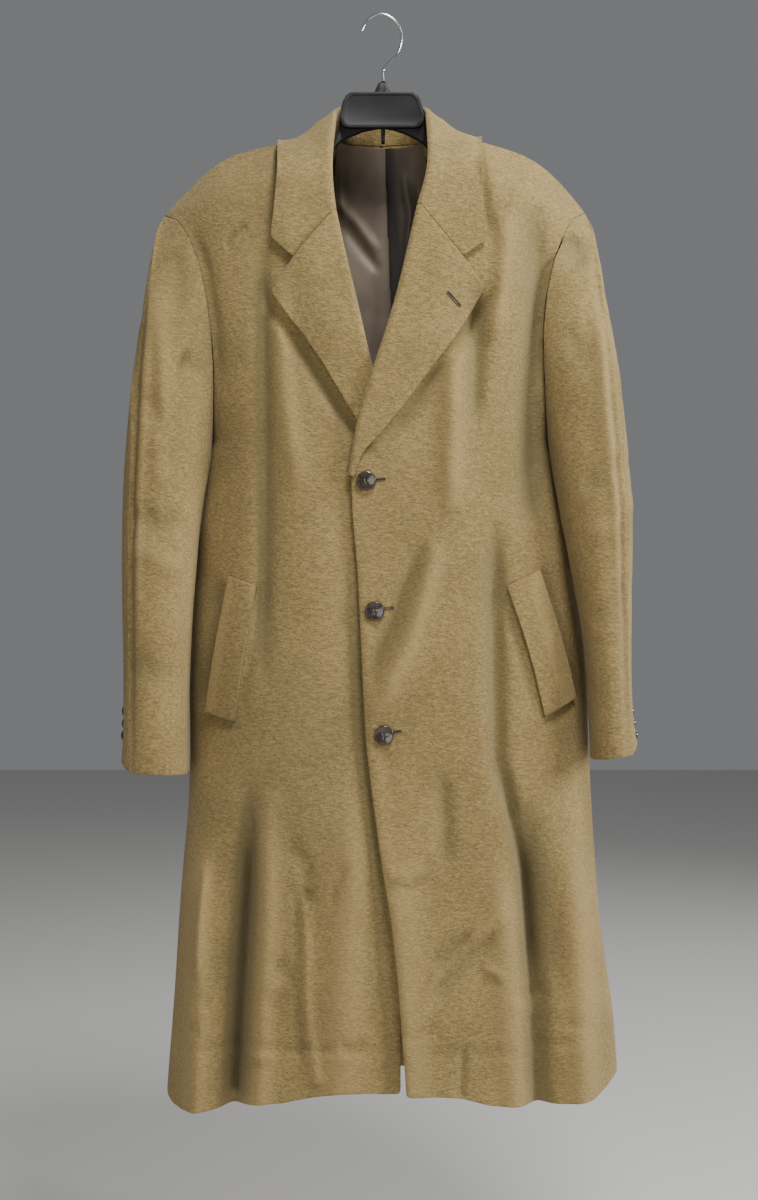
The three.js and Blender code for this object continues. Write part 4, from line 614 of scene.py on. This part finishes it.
# lapels: they swell between the roll line and the outer edge, which stands off a little
lapelShape = {
    "height": (-0.58, -0.46, -0.36, -0.26), "roll": (-0.02, 0.0, 0.03, 0.052), "across": 0.10,
    "low": -0.55, "full": -0.40, "edgeLift": 0.0022, "swell": 0.0035, "swellReach": 1.1,
    "creaseShare": 0.5, "rippleSeed": 1.3,
}
lapels = {}
for side, sign in [("right", -1), ("left", 1)]:
    cloth = clothFrom("lapel_" + side, "lapelCloth_" + side, 3, clothMaking["foldCrease"])
    pushFront(cloth, frontCreases, lapelShape["creaseShare"], lapelShape["rippleSeed"])
    points = readPoints(cloth.data)
    roll = np.interp(points[:, 2], lapelShape["height"], lapelShape["roll"])
    outwards = np.clip((points[:, 0] * sign - roll) / lapelShape["across"], 0, 1)
    swell = np.sin(np.pi * np.clip(outwards * lapelShape["swellReach"], 0, 1)) ** 2
    high = rise(points[:, 2], lapelShape["low"], lapelShape["full"])
    points[:, 1] -= (lapelShape["edgeLift"] * outwards + lapelShape["swell"] * swell) * high
    writePoints(cloth.data, points)
    finishCloth(cloth, "lapel_" + side, woolCollar)
    lapels[side] = cloth

# collar: its fall stands forward in front, and behind the neck its outer edge settles nearer the shoulders
collarShape = {
    "middle": 0.0015, "fallInner": 0.075, "fallOuter": 0.115, "fallStart": -0.02, "fallFull": -0.05,
    "fallStand": 0.0032, "settleInner": 0.078, "settleOuter": 0.114, "settleStart": -0.040,
    "settleFull": -0.010, "settleEnd": 0.070, "settleEndFull": 0.050, "settleRight": 0.0072,
    "settleLeft": 0.0095,
}
collarCloth = clothFrom("collar", "collarCloth", 3, clothMaking["foldCrease"])
points = readPoints(collarCloth.data)
across = np.abs(points[:, 0] - collarShape["middle"])
fall = rise(across, collarShape["fallInner"], collarShape["fallOuter"])
fall *= rise(points[:, 1], collarShape["fallStart"], collarShape["fallFull"])
points[:, 1] -= collarShape["fallStand"] * fall
settle = rise(across, collarShape["settleInner"], collarShape["settleOuter"])
settle *= rise(points[:, 1], collarShape["settleStart"], collarShape["settleFull"])
settle *= rise(points[:, 1], collarShape["settleEnd"], collarShape["settleEndFull"])
points[:, 2] -= np.where(points[:, 0] < 0, collarShape["settleRight"], collarShape["settleLeft"]) * settle
writePoints(collarCloth.data, points)
finishCloth(collarCloth, "collar", woolCollar)
print("lapels and collar done")

# welts: the outer edge, the pocket's mouth, stands off and bows in; a painted highlight lightens the mouth,
# and painted shadow darkens the seam and the foot
weltShape = {
    "low": -0.872, "top": -0.712, "inner": {"right": (-0.1735, -0.1475), "left": (0.195, 0.1505)},
    "across": 0.038, "height": 0.17, "stand": 0.0034, "standLeast": 0.45, "bow": 0.0022,
    "mouthHighlight": 0.008, "edgeWide": 0.14, "seamShadow": -0.034, "seamWide": 0.075,
    "footShadow": -0.022, "footWide": 0.0022, "footLean": 0.010,
}
for side in ["right", "left"]:
    cloth = clothFrom("pocket_welt_" + side, "weltCloth_" + side, 3, clothMaking["smallCrease"])
    points = readPoints(cloth.data)
    points[:, 1] -= fieldOf(frontCreases, points[:, 0], points[:, 2])
    inner = np.interp(points[:, 2], (weltShape["low"], weltShape["top"]), weltShape["inner"][side])
    outer = np.clip(np.abs(points[:, 0] - inner) / weltShape["across"], 0, 1)
    middle = np.sin(np.pi * np.clip((points[:, 2] - weltShape["low"]) / weltShape["height"], 0, 1)) ** 0.5
    least = weltShape["standLeast"]
    points[:, 1] -= weltShape["stand"] * outer ** 1.5 * (least + (1 - least) * middle)
    points[:, 0] -= np.sign(points[:, 0]) * weltShape["bow"] * outer * middle
    fromFoot = points[:, 2] - points[:, 2].min() - weltShape["footLean"] * outer
    # painted highlight along the mouth, painted shadow along the seam and at the foot
    paintedShading = weltShape["mouthHighlight"] * np.exp(-((1 - outer) / weltShape["edgeWide"]) ** 2)
    paintedShading += weltShape["seamShadow"] * np.exp(-(outer / weltShape["seamWide"]) ** 2)
    paintedShading += weltShape["footShadow"] * np.exp(-(fromFoot / weltShape["footWide"]) ** 2)
    writePaintedShading(cloth, paintedShading)
    writePoints(cloth.data, points)
    finishCloth(cloth, "pocket_welt_" + side, woolCloth)
print("welts done")

# lining: a pleat down its middle; painted shade darkens it beside the pleat, low down and out under the
# fronts
liningCreases = [
    {"wide": 0.006, "lift": 0.002, "run": [(-0.058, -0.215), (-0.03, -0.245), (0.0, -0.285)]},
    {"wide": 0.006, "lift": -0.0015, "run": [(-0.050, -0.245), (-0.02, -0.285), (0.004, -0.31)]},
    {"wide": 0.005, "lift": -0.0012, "run": [(-0.060, -0.20), (-0.02, -0.207), (0.0, -0.21)]},
    {"wide": 0.006, "lift": 0.0018, "run": [(0.028, -0.19), (0.040, -0.235), (0.034, -0.29)]},
    {"wide": 0.006, "lift": -0.0016, "run": [(0.050, -0.19), (0.050, -0.23), (0.044, -0.28)]},
    {"wide": 0.006, "lift": 0.0016, "run": [(-0.044, -0.16), (-0.048, -0.20), (-0.046, -0.25)]},
]
liningShape = {
    "pleatTop": 0.0058, "pleatLean": 0.041, "pleatStart": -0.153, "pleatHeight": 0.0030, "pleatSoft": 0.0012,
    "pleatGloom": 0.95, "pleatReach": 0.016, "besideGloom": 0.35,
    "lowStart": -0.21, "lowFull": -0.31, "lowGloom": 0.42,
    "rightStart": -0.040, "rightFull": -0.070, "rightGloom": 0.8,
    "leftStart": 0.045, "leftFull": 0.075, "leftGloom": 0.5,
    "followBack": 1.1, "offBack": 0.0012,
    "topStart": -0.225, "topFull": -0.168, "topRaise": 0.0125, "topForward": 0.005, "topSpread": 0.06,
    "topInner": 0.03,
}
liningCloth = clothFrom("lining_back", "liningCloth", 3, clothMaking["smallCrease"])
points = readPoints(liningCloth.data)
beside = points[:, 0] - liningShape["pleatTop"]
beside = beside + liningShape["pleatLean"] * (points[:, 2] - liningShape["pleatStart"])
lift = fieldOf(liningCreases, points[:, 0], points[:, 2])
lift += liningShape["pleatHeight"] / (1 + np.exp(np.clip(beside / liningShape["pleatSoft"], -30, 30)))
past = beside > 0
# painted shade: darkest just past the pleat's edge, then over the whole part beyond it, and more low down and
# towards both sides under the fronts
gloom = liningShape["pleatGloom"] * np.exp(-np.clip(beside, 0, 1) / liningShape["pleatReach"]) * past
gloom += liningShape["besideGloom"] * past
for part, values in [("low", points[:, 2]), ("right", points[:, 0]), ("left", points[:, 0])]:
    reached = rise(values, liningShape[part + "Start"], liningShape[part + "Full"])
    gloom += reached * liningShape[part + "Gloom"]
writePaintedShading(liningCloth, np.clip(gloom, 0, 1))
followed = np.minimum(fieldOf(backCreases, points[:, 0], points[:, 2]), 0) * liningShape["followBack"]
points[:, 1] += followed - liningShape["offBack"] - lift
nearTop = rise(points[:, 2], liningShape["topStart"], liningShape["topFull"])
points[:, 2] += liningShape["topRaise"] * nearTop
spread = liningShape["topSpread"] * np.clip(np.abs(points[:, 0]) - liningShape["topInner"], 0, 1)
points[:, 1] -= (liningShape["topForward"] + spread) * nearTop ** 1.5
writePoints(liningCloth.data, points)
finishCloth(liningCloth, "lining_back", satin)
print("lining done")

# buttons: the front ones each moved with the cloth under it
buttonShape = {
    "edge": 0.0003, "cuffEdge": 0.0002, "holeApart": 0.00203, "faceBelowRim": 0.0012, "threadThick": 0.00042,
    "threadStand": 0.0006, "threadOver": 0.0008, "threadSag": 0.0011,
}
solidMaking = {"merge": 0.00002, "dissolve": 1.5, "bevelAngle": 28, "bevelSegments": 2, "smoothAngle": 42}


def solidCopy(nodeName, name, edge, material):
    mesh = nodes[nodeName].data.copy()
    thing = bpy.data.objects.new(name, mesh)
    scene.collection.objects.link(thing)
    mesh.materials.clear()
    mesh.materials.append(material)
    selectOnly(thing)
    bpy.ops.object.mode_set(mode="EDIT")
    bpy.ops.mesh.select_all(action="SELECT")
    bpy.ops.mesh.remove_doubles(threshold=solidMaking["merge"])
    bpy.ops.mesh.dissolve_limited(angle_limit=math.radians(solidMaking["dissolve"]))
    bpy.ops.mesh.normals_make_consistent(inside=False)
    bpy.ops.object.mode_set(mode="OBJECT")
    if edge > 0:
        softened = thing.modifiers.new("soft", "BEVEL")
        softened.width = edge
        softened.segments = solidMaking["bevelSegments"]
        softened.limit_method = "ANGLE"
        softened.angle_limit = math.radians(solidMaking["bevelAngle"])
        bpy.ops.object.modifier_apply(modifier=softened.name)
    bpy.ops.object.shade_smooth_by_angle(angle=math.radians(solidMaking["smoothAngle"]))
    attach(thing, "root")
    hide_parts(nodeName)
    return thing


def addThread(name, middle, length):
    bpy.ops.object.select_all(action="DESELECT")
    thick = buttonShape["threadThick"]
    bpy.ops.mesh.primitive_cylinder_add(vertices=8, radius=thick, depth=length, location=middle)
    thread = bpy.context.object
    thread.name = name
    bpy.ops.object.transform_apply(location=True, rotation=True, scale=True)
    bpy.ops.object.mode_set(mode="EDIT")
    bpy.ops.mesh.select_all(action="SELECT")
    bpy.ops.mesh.subdivide(number_cuts=2)
    bpy.ops.object.mode_set(mode="OBJECT")
    points = readPoints(thread.data)
    along = np.abs(points[:, 2] - middle[2]) / (length / 2)
    points[:, 1] += buttonShape["threadSag"] * along ** 3
    writePoints(thread.data, points)
    bpy.ops.object.shade_smooth()
    thread.data.materials.append(stitchThread)
    return thread


for i in (1, 2, 3):
    nodeName = "button_front_" + str(i)
    button = solidCopy(nodeName, "hornButton_front_" + str(i), buttonShape["edge"], horn)
    points = readPoints(button.data)
    low, high = points.min(axis=0), points.max(axis=0)
    centre = (low + high) / 2
    lift = float(fieldOf(frontCreases, centre[:1], centre[2:])[0])
    points[:, 1] -= lift
    writePoints(button.data, points)
    threadY = float(low[1]) - lift + buttonShape["faceBelowRim"] - buttonShape["threadStand"]
    apart = buttonShape["holeApart"]
    strands = []
    for sign in (-1, 1):
        middle = (float(centre[0]) + sign * apart, threadY, float(centre[2]))
        strands.append(addThread("strand", middle, apart * 2 + buttonShape["threadOver"]))
    selectOnly(strands[0])
    strands[1].select_set(True)
    bpy.ops.object.join()
    strands[0].name = "buttonThread_" + str(i)
    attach(strands[0], "root")
for side in ("right", "left"):
    for i in (1, 2, 3):
        ending = "_cuff_" + side + "_" + str(i)
        solidCopy("button" + ending, "hornButton" + ending, buttonShape["cuffEdge"], horn)
print("buttons done")

# buttonholes: a bound ring round a slit, wider at the end where the button sits; the slit is a near-black
# sheet on the cloth, painted shade for the cut
holeShape = {
    "half": 0.0016, "cord": 0.00055, "eye": 1.7, "eyeFrom": -0.25, "square": 2.2, "ringStand": 0.0004,
    "slitStand": 0.0003, "slitRim": 0.0005, "segments": 40,
}


def surfaceOf(cloth):
    return BVHTree.FromObject(cloth, bpy.context.evaluated_depsgraph_get())


def surfaceAt(tree, x, z):
    return tree.ray_cast(Vector((x, -1, z)), Vector((0, 1, 0)))[0]


def addHolePiece(name, kind, tree, start, end, eye):
    (ax, az), (bx, bz) = start, end
    reach = math.hypot(bx - ax, bz - az) / 2
    turn = math.atan2(bz - az, bx - ax)
    centre = surfaceAt(tree, (ax + bx) / 2, (az + bz) / 2)
    bpy.ops.object.select_all(action="DESELECT")
    if kind == "ring":
        bpy.ops.mesh.primitive_torus_add(major_segments=holeShape["segments"], minor_segments=8,
                                         major_radius=reach, minor_radius=holeShape["cord"])
    else:
        bpy.ops.mesh.primitive_circle_add(vertices=holeShape["segments"], radius=reach, fill_type="NGON")
    piece = bpy.context.object
    piece.name = name + "_" + kind
    points = readPoints(piece.data)
    across, up, thick = points[:, 0], points[:, 1], 0.0
    if kind == "ring":
        thick = np.hypot(across, up) - reach
    angle = np.arctan2(up, across)
    half = holeShape["half"] * np.where(across < holeShape["eyeFrom"] * 2 * reach, eye, 1.0)
    side = np.sign(np.sin(angle)) * np.minimum(np.abs(np.sin(angle)) * holeShape["square"], 1.0) * half
    along = np.cos(angle) * reach + np.cos(angle) * thick
    side = side + thick * np.sin(angle)
    x = centre[0] + along * math.cos(turn) - side * math.sin(turn)
    z = centre[2] + along * math.sin(turn) + side * math.cos(turn)
    clothY = np.array([surfaceAt(tree, float(a), float(b))[1] for a, b in zip(x, z)])
    y = clothY - holeShape[kind + "Stand"] - points[:, 2]
    writePoints(piece.data, np.stack([x, y, z], axis=1))
    selectOnly(piece)
    bpy.ops.object.mode_set(mode="EDIT")
    bpy.ops.mesh.select_all(action="SELECT")
    if kind == "slit":
        bpy.ops.mesh.inset(thickness=holeShape["slitRim"], depth=0)
        bpy.ops.mesh.select_all(action="SELECT")
    bpy.ops.mesh.normals_make_consistent(inside=False)
    bpy.ops.object.mode_set(mode="OBJECT")
    bpy.ops.object.shade_smooth()
    # the slit gets the near-black painted shade, the ring the buttonhole thread
    piece.data.materials.append(holeThread if kind == "ring" else slitShade)
    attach(piece, "root")


def addButtonhole(name, tree, start, end, eye):
    for kind in ("ring", "slit"):
        addHolePiece(name, kind, tree, start, end, eye)


frontTree = surfaceOf(fronts["left"])
holePlaces = [((-0.0095, -0.5855), (0.0065, -0.5835)), ((0.001, -0.7395), (0.0165, -0.738)),
              ((0.012, -0.8885), (0.0255, -0.886))]
for i, (start, end) in enumerate(holePlaces):
    addButtonhole("buttonhole_" + str(i + 1), frontTree, start, end, holeShape["eye"])
lapelPlace = ((0.0805, -0.3605), (0.0965, -0.3775))
addButtonhole("lapelHole", surfaceOf(lapels["left"]), lapelPlace[0], lapelPlace[1], 1.0)
print("buttonholes done")

# hanger and hook
hangerShape = {"edge": 0.0008}
solidCopy("hanger_body", "hangerBody", hangerShape["edge"], plastic)
solidCopy("hanger_hook", "hangerHook", 0, steel)
print("hanger done")
